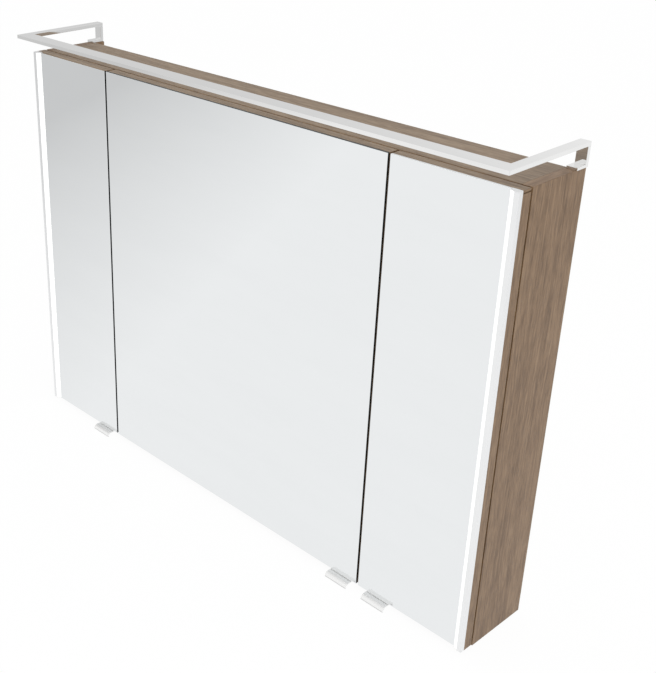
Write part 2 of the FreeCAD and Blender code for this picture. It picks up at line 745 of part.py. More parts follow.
def rocker_pivot():
    return switch_middle() + ALONG_Y * ROCKER_SET


def switch_screws():
    """Screws from the ears of the switch box up into the top panel."""
    middle = switch_middle()
    x = (SWITCH_WIDTH + EAR_LENGTH) / 2
    seat = Vector(middle.x, middle.y + SWITCH_DEPTH / 2, CEILING - EAR_SHEET)
    return [screw(seat + ALONG_X * side * x, ALONG_Z, EAR_SHEET, SCREW_BITE) for side in (-1, 1)]


def switch_box(screws):
    """Box under the top panel with an ear at each end and a window for the rocker."""
    middle = switch_middle()
    half = SWITCH_WIDTH / 2
    ear_half = half + EAR_LENGTH
    ear_front = middle.y + (SWITCH_DEPTH - EAR_HEIGHT) / 2
    box = block(
        (middle.x - half, middle.x + half),
        (middle.y, middle.y + SWITCH_DEPTH),
        (CEILING - SWITCH_HEIGHT, CEILING),
    )
    ears = block(
        (middle.x - ear_half, middle.x + ear_half),
        (ear_front, ear_front + EAR_HEIGHT),
        (CEILING - EAR_SHEET, CEILING),
    )
    window_half = ROCKER_WIDTH / 2 + ROCKER_SIDE_PLAY
    window = block(
        (middle.x - window_half, middle.x + window_half),
        (middle.y, middle.y + WINDOW_DEPTH),
        (middle.z - WINDOW_HALF, middle.z + WINDOW_HALF),
    )
    bore_half = ROCKER_WIDTH / 2 + AXLE_LENGTH + AXLE_END_PLAY
    bore = rod(rocker_pivot() - ALONG_X * bore_half, ALONG_X, AXLE_RADIUS + AXLE_PLAY, 2 * bore_half)
    return drilled(box.fuse(ears).cut([window, bore]), screws)


def rocker_switch():
    """Rocker with a hollow face and a stub axle on each side, at rest in its off tilt."""
    section = [
        (ROCKER_DIP - ROCKER_CROWN, 0),
        (-ROCKER_CROWN, ROCKER_HALF),
        (ROCKER_BACK, ROCKER_BACK_HALF),
        (ROCKER_BACK, -ROCKER_BACK_HALF),
        (-ROCKER_CROWN, -ROCKER_HALF),
    ]
    pivot = rocker_pivot()
    left = pivot - ALONG_X * (ROCKER_WIDTH / 2)
    body = prism([left + Vector(0, y, z) for y, z in section], ALONG_X * ROCKER_WIDTH)
    axle = rod(left - ALONG_X * AXLE_LENGTH, ALONG_X, AXLE_RADIUS, ROCKER_WIDTH + 2 * AXLE_LENGTH)
    rocker = body.fuse(axle).removeSplitter()
    rocker.rotate(pivot, ALONG_X, -ROCKER_TILT)
    return rocker


def main():
    os.makedirs("parts", exist_ok=True)
    dowels = carcass_dowels()
    shelf_supports = shelf_pins()
    canopy_fixings = canopy_pins()
    hinge_fixings = [fixing for door in DOORS for fixing in hinge_screws(door)]
    rear_screws = back_screws() + hanger_screws() + driver_screws()
    box_screws = switch_screws()

    save_carcass(
        dowels + shelf_supports + canopy_fixings + hinge_fixings + rear_screws + box_screws + access_holes()
    )
    save("carcass_dowels", dowels)
    save("glass_shelves", glass_shelves())
    save("shelf_pins", shelf_supports)
    save_hinge_plates_and_arms(hinge_fixings)
    save_canopy(canopy_fixings)
    for name, side in (("left", -1), ("right", 1)):
        save("wall_hanger_" + name, [wall_hanger(side, rear_screws)])
    save("rear_screws", rear_screws)
    save("access_caps", access_caps())
    save("light_driver", [light_driver(rear_screws)])
    save("cable_grommet", [cable_grommet()])
    save("switch_box", [switch_box(box_screws)])
    save("switch_screws", box_screws)
    save("rocker_switch", [rocker_switch()])
    for door in DOORS:
        save_door(door)


main()
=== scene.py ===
"""Looks and stage of the bathroom mirror cabinet.

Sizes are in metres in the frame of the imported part: X runs to the right, Y back to the wall and Z up.
Each piece is a skin of points and faces worked out from the boxes of the CAD nodes it stands for.
"""

import json
import math

import bmesh
import bpy
import numpy as np
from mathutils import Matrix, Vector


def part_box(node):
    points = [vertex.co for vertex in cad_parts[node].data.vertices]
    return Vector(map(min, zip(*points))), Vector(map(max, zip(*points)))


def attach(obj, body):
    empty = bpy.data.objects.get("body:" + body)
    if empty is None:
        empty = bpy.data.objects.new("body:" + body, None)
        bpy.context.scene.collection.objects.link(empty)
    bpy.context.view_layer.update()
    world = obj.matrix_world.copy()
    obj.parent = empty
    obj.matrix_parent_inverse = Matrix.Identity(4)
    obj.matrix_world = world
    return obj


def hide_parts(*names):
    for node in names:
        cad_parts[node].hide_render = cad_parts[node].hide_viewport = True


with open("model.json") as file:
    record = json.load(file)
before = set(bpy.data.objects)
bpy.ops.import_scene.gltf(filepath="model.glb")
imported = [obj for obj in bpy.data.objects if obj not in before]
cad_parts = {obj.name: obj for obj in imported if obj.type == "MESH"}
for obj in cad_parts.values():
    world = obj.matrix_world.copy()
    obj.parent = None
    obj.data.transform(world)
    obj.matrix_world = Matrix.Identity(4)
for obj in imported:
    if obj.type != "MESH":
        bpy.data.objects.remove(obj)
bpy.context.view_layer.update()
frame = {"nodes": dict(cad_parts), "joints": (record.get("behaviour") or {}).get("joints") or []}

DOORS = ("left", "centre", "right")
LIT_DOORS = ("left", "right")
UPRIGHT_BOARDS = {
    "side_board_left": "side_panel_left",
    "side_board_right": "side_panel_right",
    "middle_board_left": "partition_left",
    "middle_board_right": "partition_right",
}
LEVEL_BOARDS = {"top_board": "top_panel", "bottom_board": "bottom_panel"}

# Directions
TO_WALL = (0.0, 1.0, 0.0)
TO_FRONT = (0.0, -1.0, 0.0)
UP = (0.0, 0.0, 1.0)

# Meshes
ARC_STEPS = 3
ROUND_STEPS = 40
SHARP_ANGLE = math.radians(35)
MERGE_DISTANCE = 1e-7
CUT_PAST = 0.002

# Roundings of edges
BOARD_EASE = 0.0004
FRONT_ROUND = 0.0016
GLASS_EASE = 0.0006
BAR_EASE = 0.0003
SHEET_EASE = 0.0003
STEEL_EASE = 0.0004
HINGE_EASE = 0.0005
PLASTIC_EASE = 0.0012
CHANNEL_EASE = 0.0002
LENS_EASE = 0.00015

# Pins of the shelves, measured from the end in the board
PIN_NECK_SHARE = 0.84
PIN_GROOVE_START = 0.0072
PIN_GROOVE_END = 0.0082
PIN_GROOVE_SLOPE = 0.0002
PIN_TIP = 0.0006

# Edging of the lit doors
BAND_WIDTH = 0.001
BAND_RISE = 0.0014
EDGING = 0.0026
LINE_HEIGHT = 0.002
LINE_DEPTH = 0.002

# Faces of the mirrors: places in the list of finishes, and how far a normal points to front or level
SILVERED, SHADED_GROUND, BANDED = range(3)
# The centre top is ground and near black: painted shade for the dark line along its top
MIRROR_TOPS = {"left": BANDED, "centre": SHADED_GROUND, "right": SILVERED}
MIRROR_FRONT = 0.3
MIRROR_LEVEL = 0.5

# Door lights
PROFILE_LIP = 0.008
PROFILE_WALL = 0.0015
PROFILE_BASE = 0.0012
DIFFUSER = 0.0013
MIRROR = 0.004
PROFILE_LAP = 0.0009

# Grip strips
GRIP_SHEET = 0.002
GRIP_FLANGE = 0.0148
GRIP_STEP = 0.0013
GRIP_BEND = 0.0005
CURL_OUTSIDE = 0.0074
CURL_INSIDE = 0.0054
CURL_STEPS = 9
# Height of the lowest band of the curl that takes painted shade
GRIP_SHADE_BAND = 0.0024

# Door bumpers
BUMPER_WALL_SHARE = 0.4
BUMPER_STEPS = 6

# Canopy
FOOT_HEIGHT = 0.004
FOOT_ROUND = 0.0006
UPRIGHT = 0.006

# Hinges
CUP_RADIUS = 0.0175
CUP_WALL = 0.001
CUP_FLOOR = 0.0005
CUP_RIM = 0.001
CUP_RIM_ROUND = 0.0006
CUP_DEPTH = 0.015
CUP_CHAMFER = 0.001
CUP_COVE = 0.0012
WING_WIDTH = 0.014
WING_ROUND = 0.005
EYE_RADIUS = 0.0023
PIN_HOLE = 0.0013
ARM_SHEET = 0.0035
ARM_START_SHARE = 0.8
ARM_ROUND = 0.0012
CRANK_ROUND = 0.0045
PLATE_BASE = 0.003
PLATE_FRONT_STEP = 0.006
PLATE_REAR_STEP = 0.008
PLATE_ROUND = 0.004
RIDGE_HALF = 0.006
RIDGE_ROUND = 0.002

# Screws
SCREW_HEAD = 0.0016
SCREW_RIM = 0.00042
SCREW_SIDE = 0.0007
DOME_SHARE = 0.97
DOME_RINGS = 14
SHANK_RADIUS = 0.00175
SHANK_POINT = 0.003
RECESS_HALF = 0.00045
RECESS_SLOPE = 0.0002
RECESS_REACH = 0.0019
RECESS_END_SLOPE = 0.0003
RECESS_DEPTH = 0.0009

# Wall hangers
HANGER_SHEET = 0.002
HANGER_HOLE = 0.0045
HANGER_FROM_SIDE = 0.024
HANGER_CORNER = 0.0005
HANGER_BEND_OUTSIDE = 0.0024
HANGER_BEND_INSIDE = 0.0006

# Caps and grommet
CAP_RADIUS = 0.013
CAP_CHAMFER = 0.0008
CAP_FLANGE = 0.002
CAP_EDGE = 0.0005
CAP_ROUND = 0.0012
CAP_ROUND_END = 80
CAP_CROWN = 0.0003
CAP_CROWN_SHARES = (0.7, 0.4, 0.0)
GROMMET_BORE = 0.005
GROMMET_RADIUS = 0.009
GROMMET_FLANGE = 0.0015

# Driver and switch
EAR_LENGTH = 0.012
EAR_HEIGHT = 0.020
EAR_SHEET = 0.003
EAR_ROUND = 0.005
EAR_EASE = 0.0006
LID_GAP = 0.0004
LID_SUNK = 0.001
DRIVER_BODY = 0.011
WINDOW_HALF = 0.0075
WINDOW_DEPTH = 0.009
WINDOW_EASE = 0.0006
ROCKER_WIDTH = 0.020
ROCKER_PLAY = 0.0004
ROCKER_TILT = math.radians(6.0)
ROCKER_FRONT = 0.0049
ROCKER_HOLLOW = 0.0042
ROCKER_HOLLOW_RADIUS = 0.02
ROCKER_FRONT_HALF = 0.0066
ROCKER_BACK = 0.002
ROCKER_BACK_HALF = 0.005
ROCKER_ROUND = 0.0006
ROCKER_END = 0.0005

# Oak decor
OAK_DARK = (0.143, 0.0805, 0.0380, 1.0)
OAK_MIDDLE = (0.221, 0.1325, 0.0665, 1.0)
OAK_LIGHT = (0.303, 0.191, 0.1030, 1.0)
OAK_PORE = (0.09, 0.052, 0.028, 1.0)
# Painted sheen on upper and lower oak faces: the share each channel gains, which is lost for painted
# shade below zero
OAK_PAINTED_SHEEN = (0.06, 0.18, 0.34)
OAK_END_FACING = 0.7
RING_LEAN = 0.09
RING_WAVE = 900.0
HEART_LEVEL = 0.042
HEART_CORE = 0.002
HEART_HALF = 0.010

# Depths of the reliefs
OAK_RELIEF = 0.0002
METAL_RELIEF = 0.00002
GROUND_RELIEF = 0.00003
PLASTIC_RELIEF = 0.00005
BOARD_RELIEF = 0.0001

# Floor and surroundings; a falloff is its start, its end and the share of light at each
FLOOR_HEIGHT = -0.648
FLOOR_HALF = 14.0
FLOOR_GLOW = 0.955
FLOOR_SHADOW = (0.05, 0.05, 0.05, 1.0)
FLOOR_BOUNCE = (0.8, 0.8, 0.8, 1.0)
FLOOR_LEFT = (-0.896, 0.443, 0.0)
FLOOR_LEFT_FALLOFF = (0.30, 1.40, 1.0, 0.673)
FLOOR_RIGHT_FALLOFF = (1.76, 2.20, 1.0, 0.70)
SKY_LEFT = (-0.86, 0.20, 0.47)
SKY_LEFT_FALLOFF = (0.635, 0.86, 1.0, 0.72)
SKY_LIGHT = 0.78
WHITE = (1.0, 1.0, 1.0, 1.0)

# Lamp, with its power in watts
KEY_PLACE = (1.9, -1.6, 1.9)
KEY_TARGET = (0.0, -0.1, -0.3)
KEY_SIZE = 1.8
KEY_POWER = 20.0

# Camera, with its sensor and lens in millimetres
CAMERA_SENSOR = 36.0
CAMERA_LENS = 60.46
CAMERA_SHIFT = (0.19357, -0.03805)
CAMERA_PLACE = (1.18276, -1.26367, 0.50202)
CAMERA_DOWN = math.radians(25.3822)
CAMERA_TURN = math.radians(48.127)
CAMERA_REACH = 50.0


# Skins

def lofted(rings, loop=False):
    """Closed skin through a stack of rings with equal counts of points.

    Points j and j + 1 of ring i make a four-sided face with the same points of ring i + 1. The first
    and last ring are closed by a flat face each, or joined to each other in a loop.
    """
    rings = np.asarray(rings, float)
    count, around = rings.shape[:2]
    i, j = np.meshgrid(np.arange(count if loop else count - 1), np.arange(around), indexing="ij")
    upper = (i + 1) % count
    turn = (j + 1) % around
    sides = np.stack(
        [i * around + j, i * around + turn, upper * around + turn, upper * around + j], axis=-1
    )
    faces = sides.reshape(-1, 4).tolist()
    if not loop:
        faces.append(np.arange(around)[::-1].tolist())
        faces.append(np.arange((count - 1) * around, count * around).tolist())
    return rings.reshape(-1, 3), faces


def filleted(corners, radius, steps=ARC_STEPS):
    """Outline with every corner rounded, as points and outward normals.

    With unit vectors a and b from a corner to its neighbours and h half the angle between them, the
    arc's centre lies radius / sin h along a + b, and its points swing evenly between the two sides.
    """
    corner = np.asarray(corners, float)
    a = np.roll(corner, 1, axis=0) - corner
    b = np.roll(corner, -1, axis=0) - corner
    convex = np.sign(a[:, 1] * b[:, 0] - a[:, 0] * b[:, 1])
    area = np.sum(corner[:, 0] * (corner + b)[:, 1] - (corner + b)[:, 0] * corner[:, 1])
    a /= np.linalg.norm(a, axis=1, keepdims=True)
    b /= np.linalg.norm(b, axis=1, keepdims=True)
    half = (np.arccos(np.sum(a * b, axis=1)) / 2)[:, None]
    radius = np.broadcast_to(np.asarray(radius, float), half.shape[:1])[:, None]
    middle = (a + b) / np.linalg.norm(a + b, axis=1, keepdims=True)
    centre = corner + middle * radius / np.sin(half)
    start = (corner + a * radius / np.tan(half) - centre) / radius
    stop = (corner + b * radius / np.tan(half) - centre) / radius
    sweep = (np.pi - 2 * half)[:, None]
    k = np.linspace(0.0, 1.0, steps + 1)[None, :, None]
    swing = np.sin((1 - k) * sweep) * start[:, None] + np.sin(k * sweep) * stop[:, None]
    swing /= np.sin(sweep)
    points = centre[:, None] + radius[:, None] * swing
    normals = swing * (convex * np.sign(area))[:, None, None]
    return points.reshape(-1, 2), normals.reshape(-1, 2)


def rectangle(left, right, low, high):
    """Four corners in order."""
    return [(left, low), (right, low), (right, high), (left, high)]


def extruded(outline, axis, low, high, ease):
    """Straight bar: an outline carried along an axis, drawn in at both ends.

    At angle t of a quarter circle the level is ease (1 - cos t) from the end and the outline is drawn
    in along its normals by ease (1 - sin t).
    """
    points, normals = outline
    t = np.linspace(0.0, np.pi / 2, ARC_STEPS + 1)
    rise = ease * (1 - np.cos(t))
    drawn_in = ease * (1 - np.sin(t))
    level = np.concatenate([low + rise, high - rise[::-1]])[:, None, None]
    inset = np.concatenate([drawn_in, drawn_in[::-1]])[:, None, None]
    flat = points - inset * normals
    rings = np.concatenate([flat, np.broadcast_to(level, flat.shape[:2] + (1,))], axis=2)
    order = {"x": [2, 0, 1], "y": [0, 2, 1], "z": [0, 1, 2]}[axis]
    return lofted(rings[..., order])


def eased_box(low, high, ease):
    """Box with every edge rounded: a rounded rectangle carried up and drawn in at both ends."""
    outline = filleted(rectangle(low[0], high[0], low[1], high[1]), ease)
    return extruded(outline, "z", low[2], high[2], ease)


def turned(profile, base, axis, loop=False):
    """Round skin: (radius, height) pairs carried round an axis that starts at the base point.

    The point at angle t is base + height axis + radius (cos t side + sin t other).
    """
    profile = np.asarray(profile, float)[:, None, None, :]
    axis = np.asarray(axis, float)
    side = np.roll(axis, 1)
    other = np.cross(axis, side)
    t = np.linspace(0.0, 2 * np.pi, ROUND_STEPS, endpoint=False)[:, None]
    spoke = np.cos(t) * side + np.sin(t) * other
    rings = np.asarray(base, float) + profile[..., 1] * axis + profile[..., 0] * spoke
    return lofted(rings, loop)


def drill(radius, length, base):
    """Round cutter towards the wall: a disc carried along its axis."""
    return turned([(0.0, 0.0), (radius, 0.0), (radius, length), (0.0, length)], base, TO_WALL)


def arc(centre, radius, start, stop):
    """Points of an arc in a profile, between two angles in degrees."""
    t = np.radians(np.linspace(start, stop, ARC_STEPS + 2))
    return [(centre[0] + radius * c, centre[1] + radius * s) for c, s in zip(np.cos(t), np.sin(t))]


# Reading the frame

def span(node):
    """Lowest and highest corner of a CAD node."""
    low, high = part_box(node)
    return np.array(low), np.array(high)


def solids(node):
    """Points of each solid in a CAD node.

    Every point starts with a label of its own, and the points of a triangle take the least of their
    three labels until nothing changes.
    """
    mesh = frame["nodes"][node].data
    points = np.empty(len(mesh.vertices) * 3)
    mesh.vertices.foreach_get("co", points)
    points, spot = np.unique(points.reshape(-1, 3).round(6), axis=0, return_inverse=True)
    corners = np.empty(len(mesh.loops), int)
    mesh.loops.foreach_get("vertex_index", corners)
    triangles = spot.reshape(-1)[corners].reshape(-1, 3)
    label = np.arange(len(points))
    while True:
        least = label.copy()
        np.minimum.at(least, triangles, label[triangles].min(axis=1, keepdims=True))
        if (least == label).all():
            return [points[label == name] for name in np.unique(label)]
        label = least


def boxes(node):
    """Lowest and highest corner of each solid in a CAD node."""
    return [(points.min(axis=0), points.max(axis=0)) for points in solids(node)]


# Pieces

def shell(name, finish, skins):
    """Object from closed skins, in place, with its faces outwards."""
    starts = np.cumsum([0] + [len(points) for points, _ in skins]).tolist()
    points = np.concatenate([points for points, _ in skins])
    faces = [
        [start + corner for corner in face]
        for start, (_, skin_faces) in zip(starts, skins)
        for face in skin_faces
    ]
    mesh = bpy.data.meshes.new(name)
    mesh.from_pydata(points.tolist(), [], faces)
    work = bmesh.new()
    work.from_mesh(mesh)
    bmesh.ops.remove_doubles(work, verts=work.verts, dist=MERGE_DISTANCE)
    bmesh.ops.recalc_face_normals(work, faces=work.faces)
    work.to_mesh(mesh)
    work.free()
    mesh.materials.append(finish)
    obj = bpy.data.objects.new(name, mesh)
    bpy.context.scene.collection.objects.link(obj)
    return obj


def smooth(obj):
    """Smooth shading that stops at sharp edges and keeps large flat faces flat."""
    obj.data.shade_smooth()
    obj.data.set_sharp_from_angle(angle=SHARP_ANGLE)
    flat = obj.modifiers.new("flat_faces", "WEIGHTED_NORMAL")
    flat.keep_sharp = True


def hollow(obj, cuts):
    """Cut skins out of an object for good."""
    cutter = shell(obj.name + "_cutter", obj.data.materials[0], cuts)
    cut = obj.modifiers.new("hollow", "BOOLEAN")
    cut.operation = "DIFFERENCE"
    cut.solver = "EXACT"
    cut.object = cutter
    shown = obj.evaluated_get(bpy.context.evaluated_depsgraph_get())
    mesh = bpy.data.meshes.new_from_object(shown)
    obj.modifiers.clear()
    obj.data = mesh
    bpy.data.objects.remove(cutter)


def piece(name, body, finish, skins, nodes, cuts=()):
    """One piece from closed skins, less its cuts, riding on a body in the stead of CAD nodes."""
    obj = shell(name, finish, skins)
    if cuts:
        hollow(obj, cuts)
    smooth(obj)
    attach(obj, body)
    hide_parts(*nodes)
    return obj


def dress(node, finish):
    """A finish for a CAD node that stays in view."""
    obj = frame["nodes"][node]
    obj.data.materials.clear()
    obj.data.materials.append(finish)


def face_values(obj, kind):
    """Normal or centre of each face of a piece."""
    values = np.empty(len(obj.data.polygons) * 3)
    obj.data.polygons.foreach_get(kind, values)
    return values.reshape(-1, 3)


def finish_faces(obj, finishes, choice):
    """More finishes for a piece, and the place in its list of finishes for each face."""
    for finish in finishes:
        obj.data.materials.append(finish)
    obj.data.polygons.foreach_set("material_index", choice.astype(np.int32))


# Nodes of the finishes

def fill(tree, node, values):
    """Inputs of a shader node: a socket is linked, and anything else is set."""
    for name, value in values.items():
        if isinstance(value, bpy.types.NodeSocket):
            tree.links.new(value, node.inputs[name])
        else:
            node.inputs[name].default_value = value


def add(tree, kind, values, **settings):
    """New shader node with its own settings and filled inputs."""
    node = tree.nodes.new("ShaderNode" + kind)
    for name, setting in settings.items():
        setattr(node, name, setting)
    fill(tree, node, values)
    return node


def vector(tree, operation, first, second):
    """Vector from two vectors."""
    return add(tree, "VectorMath", {0: first, 1: second}, operation=operation).outputs[0]


def calc(tree, operation, first, second=0.0):
    """Value from two values, or from one."""
    return add(tree, "Math", {0: first, 1: second}, operation=operation).outputs[0]


def parts(tree, vector_socket):
    """The three parts of a vector."""
    return add(tree, "SeparateXYZ", {0: vector_socket}).outputs


def along_direction(tree, place, direction):
    """How far a place lies in a direction."""
    return add(tree, "VectorMath", {0: place, 1: direction}, operation="DOT_PRODUCT").outputs["Value"]


def noise(tree, place, waves, detail, roughness=0.5):
    """Noise with so many waves to the metre along each axis."""
    values = {
        "Vector": vector(tree, "MULTIPLY", place, waves),
        "Scale": 1.0,
        "Detail": detail,
        "Roughness": roughness,
    }
    return add(tree, "TexNoise", values).outputs["Fac"]


def remap(tree, value, from_low, from_high, to_low, to_high):
    """Value carried from one range to another."""
    values = {
        "Value": value,
        "From Min": from_low,
        "From Max": from_high,
        "To Min": to_low,
        "To Max": to_high,
    }
    return add(tree, "MapRange", values).outputs["Result"]


def spread(tree, value, low=0.35, high=0.65):
    """Share from 0 to 1 over the range that a noise mostly keeps to."""
    return remap(tree, value, low, high, 0.0, 1.0)


def varied(tree, value, middle, swing):
    """Value that a noise moves about its middle, by a share of it to each side."""
    return remap(tree, value, 0.3, 0.7, middle * (1 - swing), middle * (1 + swing))


def weighted(tree, terms):
    """Sum of values times their weights."""
    total = None
    for value, weight in terms:
        term = calc(tree, "MULTIPLY", value, weight)
        total = calc(tree, "ADD", total, term) if total else term
    return total


def between(tree, factor, first, second):
    """Value between two values."""
    return add(tree, "Mix", {0: factor, 2: first, 3: second}).outputs[0]


def mixed(tree, factor, first, second):
    """Colour between two colours."""
    return add(tree, "Mix", {0: factor, 6: first, 7: second}, data_type="RGBA").outputs[2]


def dimmed(colour, share):
    """Share of a colour, with full alpha."""
    return (*(share * part for part in colour), 1.0)


def new_group(name, inputs, outputs):
    """Empty node group with its sockets; the first input is always the place on the piece."""
    tree = bpy.data.node_groups.new(name, "ShaderNodeTree")
    tree.interface.new_socket(name="Place", in_out="INPUT", socket_type="NodeSocketVector")
    for socket in inputs:
        tree.interface.new_socket(name=socket, in_out="INPUT", socket_type="NodeSocketFloat")
    for socket, kind in outputs:
        tree.interface.new_socket(name=socket, in_out="OUTPUT", socket_type="NodeSocket" + kind)
    entry = tree.nodes.new("NodeGroupInput")
    result = tree.nodes.new("NodeGroupOutput")
    return tree, entry.outputs, result


def oak_grain_group():
    """Oak decor with the grain along the first axis.

    Noise stretched along the grain gives bands, streaks and fibres, drifting sideways as boards do.
    The year rings are a wave of the distance to an axis that slowly leaves the board, which draws long
    arches, and a darker heart streak runs beside them. Thin dashes of the finest noise are the pores.
    Pale paints light into the tone: above zero a painted sheen, lighter and more grey, and below
    zero painted shade, darker and browner.
    """
    tree, entry, result = new_group(
        "oak_grain", ("Pale",), (("Color", "Color"), ("Roughness", "Float"), ("Height", "Float"))
    )
    place = entry["Place"]
    drift = remap(tree, noise(tree, place, (1.4, 5.0, 5.0), 2), 0.3, 0.7, -0.01, 0.01)
    aside = add(tree, "CombineXYZ", {"Y": drift, "Z": drift}).outputs[0]
    bent = vector(tree, "ADD", place, aside)
    bands = noise(tree, bent, (1.2, 32.0, 32.0), 3, 0.5)
    streaks = noise(tree, bent, (5.0, 260.0, 260.0), 4, 0.6)
    fibres = noise(tree, bent, (44.0, 340.0, 340.0), 3, 0.6)
    dashes = noise(tree, bent, (42.0, 720.0, 720.0), 1)
    pores = spread(tree, dashes, 0.58, 0.70)
    across = parts(tree, bent)
    leaning = calc(tree, "ADD", across["Y"], calc(tree, "MULTIPLY", across["X"], RING_LEAN))
    pith = add(tree, "CombineXYZ", {"Y": leaning, "Z": across["Z"]}).outputs[0]
    distance = add(tree, "VectorMath", {0: pith}, operation="LENGTH").outputs["Value"]
    wave = calc(tree, "SINE", calc(tree, "MULTIPLY", distance, RING_WAVE))
    rings = remap(tree, wave, -1.0, 1.0, 0.3, 0.7)
    level = parts(tree, place)["Z"]
    beside = calc(tree, "ABSOLUTE", calc(tree, "ADD", level, HEART_LEVEL))
    heart = remap(tree, beside, HEART_CORE, HEART_HALF, 1.0, 0.0)
    terms = ((bands, 0.16), (streaks, 0.38), (fibres, 0.38), (rings, 0.08), (heart, -0.055))
    tone = weighted(tree, terms)
    ramp = add(tree, "ValToRGB", {"Fac": tone})
    low, high = ramp.color_ramp.elements
    low.position = 0.38
    low.color = OAK_DARK
    high.position = 0.62
    high.color = OAK_LIGHT
    middle = ramp.color_ramp.elements.new(0.5)
    middle.color = OAK_MIDDLE
    brown = mixed(tree, calc(tree, "MULTIPLY", pores, 0.45), ramp.outputs["Color"], OAK_PORE)
    # Painted light: the step towards a painted sheen, scaled by Pale
    painted_light_step = vector(tree, "MULTIPLY", brown, OAK_PAINTED_SHEEN)
    share = add(tree, "VectorMath", {0: painted_light_step, "Scale": entry["Pale"]}, operation="SCALE").outputs[0]
    fill(tree, result, {
        "Color": vector(tree, "ADD", brown, share),
        "Roughness": remap(tree, tone, 0.3, 0.7, 0.50, 0.40),
        "Height": weighted(tree, ((streaks, 0.35), (fibres, 0.25), (pores, -0.8))),
    })
    return tree


def drawn_lines_group():
    """Fine lines along the first axis, as drawn or polished metal has, with a few cloudy patches."""
    tree, entry, result = new_group("drawn_lines", (), (("Lines", "Float"), ("Clouds", "Float")))
    place = entry["Place"]
    fine = noise(tree, place, (30.0, 4000.0, 4000.0), 2)
    coarse = noise(tree, place, (8.0, 900.0, 900.0), 2)
    clouds = noise(tree, place, (9.0, 16.0, 16.0), 3)
    fill(tree, result, {"Lines": weighted(tree, ((fine, 0.6), (coarse, 0.4))), "Clouds": clouds})
    return tree


def moulded_skin_group():
    """Moulded plastic or rubber: a fine eroded skin and slow, faint patches in the colour."""
    tree, entry, result = new_group("moulded_skin", (), (("Skin", "Float"), ("Patches", "Float")))
    place = entry["Place"]
    skin = noise(tree, place, (2600.0,) * 3, 2, 0.6)
    fill(tree, result, {"Skin": skin, "Patches": noise(tree, place, (35.0,) * 3, 3)})
    return tree


def wiped_glass_group():
    """Wiped glass: faint long strokes of a cloth and a little settled dust."""
    tree, entry, result = new_group("wiped_glass", (), (("Strokes", "Float"), ("Dust", "Float")))
    place = entry["Place"]
    strokes = noise(tree, place, (5.0, 40.0, 22.0), 4, 0.6)
    specks = noise(tree, place, (1500.0,) * 3, 1)
    fill(tree, result, {"Strokes": strokes, "Dust": spread(tree, specks, 0.70, 0.78)})
    return tree


oak_grain = oak_grain_group()
drawn_lines = drawn_lines_group()
moulded_skin = moulded_skin_group()
wiped_glass = wiped_glass_group()


# Finishes

def new_finish(name):
    """Empty material: its node tree, its Principled shader and the place on the piece."""
    material = bpy.data.materials.new(name)
    material.use_nodes = True
    tree = material.node_tree
    shader = tree.nodes["Principled BSDF"]
    place = tree.nodes.new("ShaderNodeTexCoord").outputs["Object"]
    return material, tree, shader, place


def placed(tree, group, place, **more):
    """A shared effect in a material."""
    return add(tree, "Group", {"Place": place, **more}, node_tree=group).outputs


def relief(tree, height, strength, distance):
    """Normal of a bump from a height."""
    values = {"Height": height, "Strength": strength, "Distance": distance}
    return add(tree, "Bump", values).outputs["Normal"]


def along(tree, place, axis):
    """Place with its first axis along a given axis of the piece."""
    given = parts(tree, place)
    order = {"x": "XYZ", "y": "YZX", "z": "ZXY"}[axis]
    return add(tree, "CombineXYZ", {to: given[of] for to, of in zip("XYZ", order)}).outputs[0]


def oak(name, faces, ends, pale):
    """Oak decor with the grain along one axis, and along another on the upper and lower ends. The last
    argument paints light onto these ends: a painted sheen above zero and painted shade below it.
    """
    material, tree, shader, place = new_finish(name)
    normal = tree.nodes["Texture Coordinate"].outputs["Normal"]
    steep = calc(tree, "ABSOLUTE", parts(tree, normal)["Z"])
    on_end = calc(tree, "GREATER_THAN", steep, OAK_END_FACING)
    values = {0: on_end, 4: along(tree, place, faces), 5: along(tree, place, ends)}
    lie = add(tree, "Mix", values, data_type="VECTOR").outputs[1]
    # Painted light on the upper and lower faces, scaled by the last argument
    grain = placed(tree, oak_grain, lie, Pale=calc(tree, "MULTIPLY", on_end, pale))
    fill(tree, shader, {
        "Base Color": grain["Color"],
        "Roughness": grain["Roughness"],
        "Normal": relief(tree, grain["Height"], 0.25, OAK_RELIEF),
    })
    return material


def metal(name, colour, roughness, axis, depth=0.15):
    """Metal with fine lines along an axis: the lines vary its shade and gloss a little."""
    material, tree, shader, place = new_finish(name)
    lines = placed(tree, drawn_lines, along(tree, place, axis))
    shade = weighted(tree, ((lines["Lines"], 0.6), (lines["Clouds"], 0.4)))
    fill(tree, shader, {
        "Base Color": mixed(tree, spread(tree, shade), dimmed(colour, 0.94), dimmed(colour, 1.0)),
        "Roughness": varied(tree, shade, roughness, 0.25),
        "Normal": relief(tree, lines["Lines"], depth, METAL_RELIEF),
        "Metallic": 1.0,
    })
    return material


def moulded(name, colour, roughness, depth):
    """Moulded plastic or rubber with a fine skin: its material, tree, shader and patches."""
    material, tree, shader, place = new_finish(name)
    skin = placed(tree, moulded_skin, place)
    patches = spread(tree, skin["Patches"])
    fill(tree, shader, {
        "Base Color": mixed(tree, patches, dimmed(colour, 0.93), dimmed(colour, 1.0)),
        "Roughness": varied(tree, skin["Skin"], roughness, 0.15),
        "Normal": relief(tree, skin["Skin"], depth, PLASTIC_RELIEF),
    })
    return material, tree, shader, skin["Patches"]


def plastic(name, colour, roughness, depth=0.2):
    """Plain moulded plastic or rubber."""
    return moulded(name, colour, roughness, depth)[0]


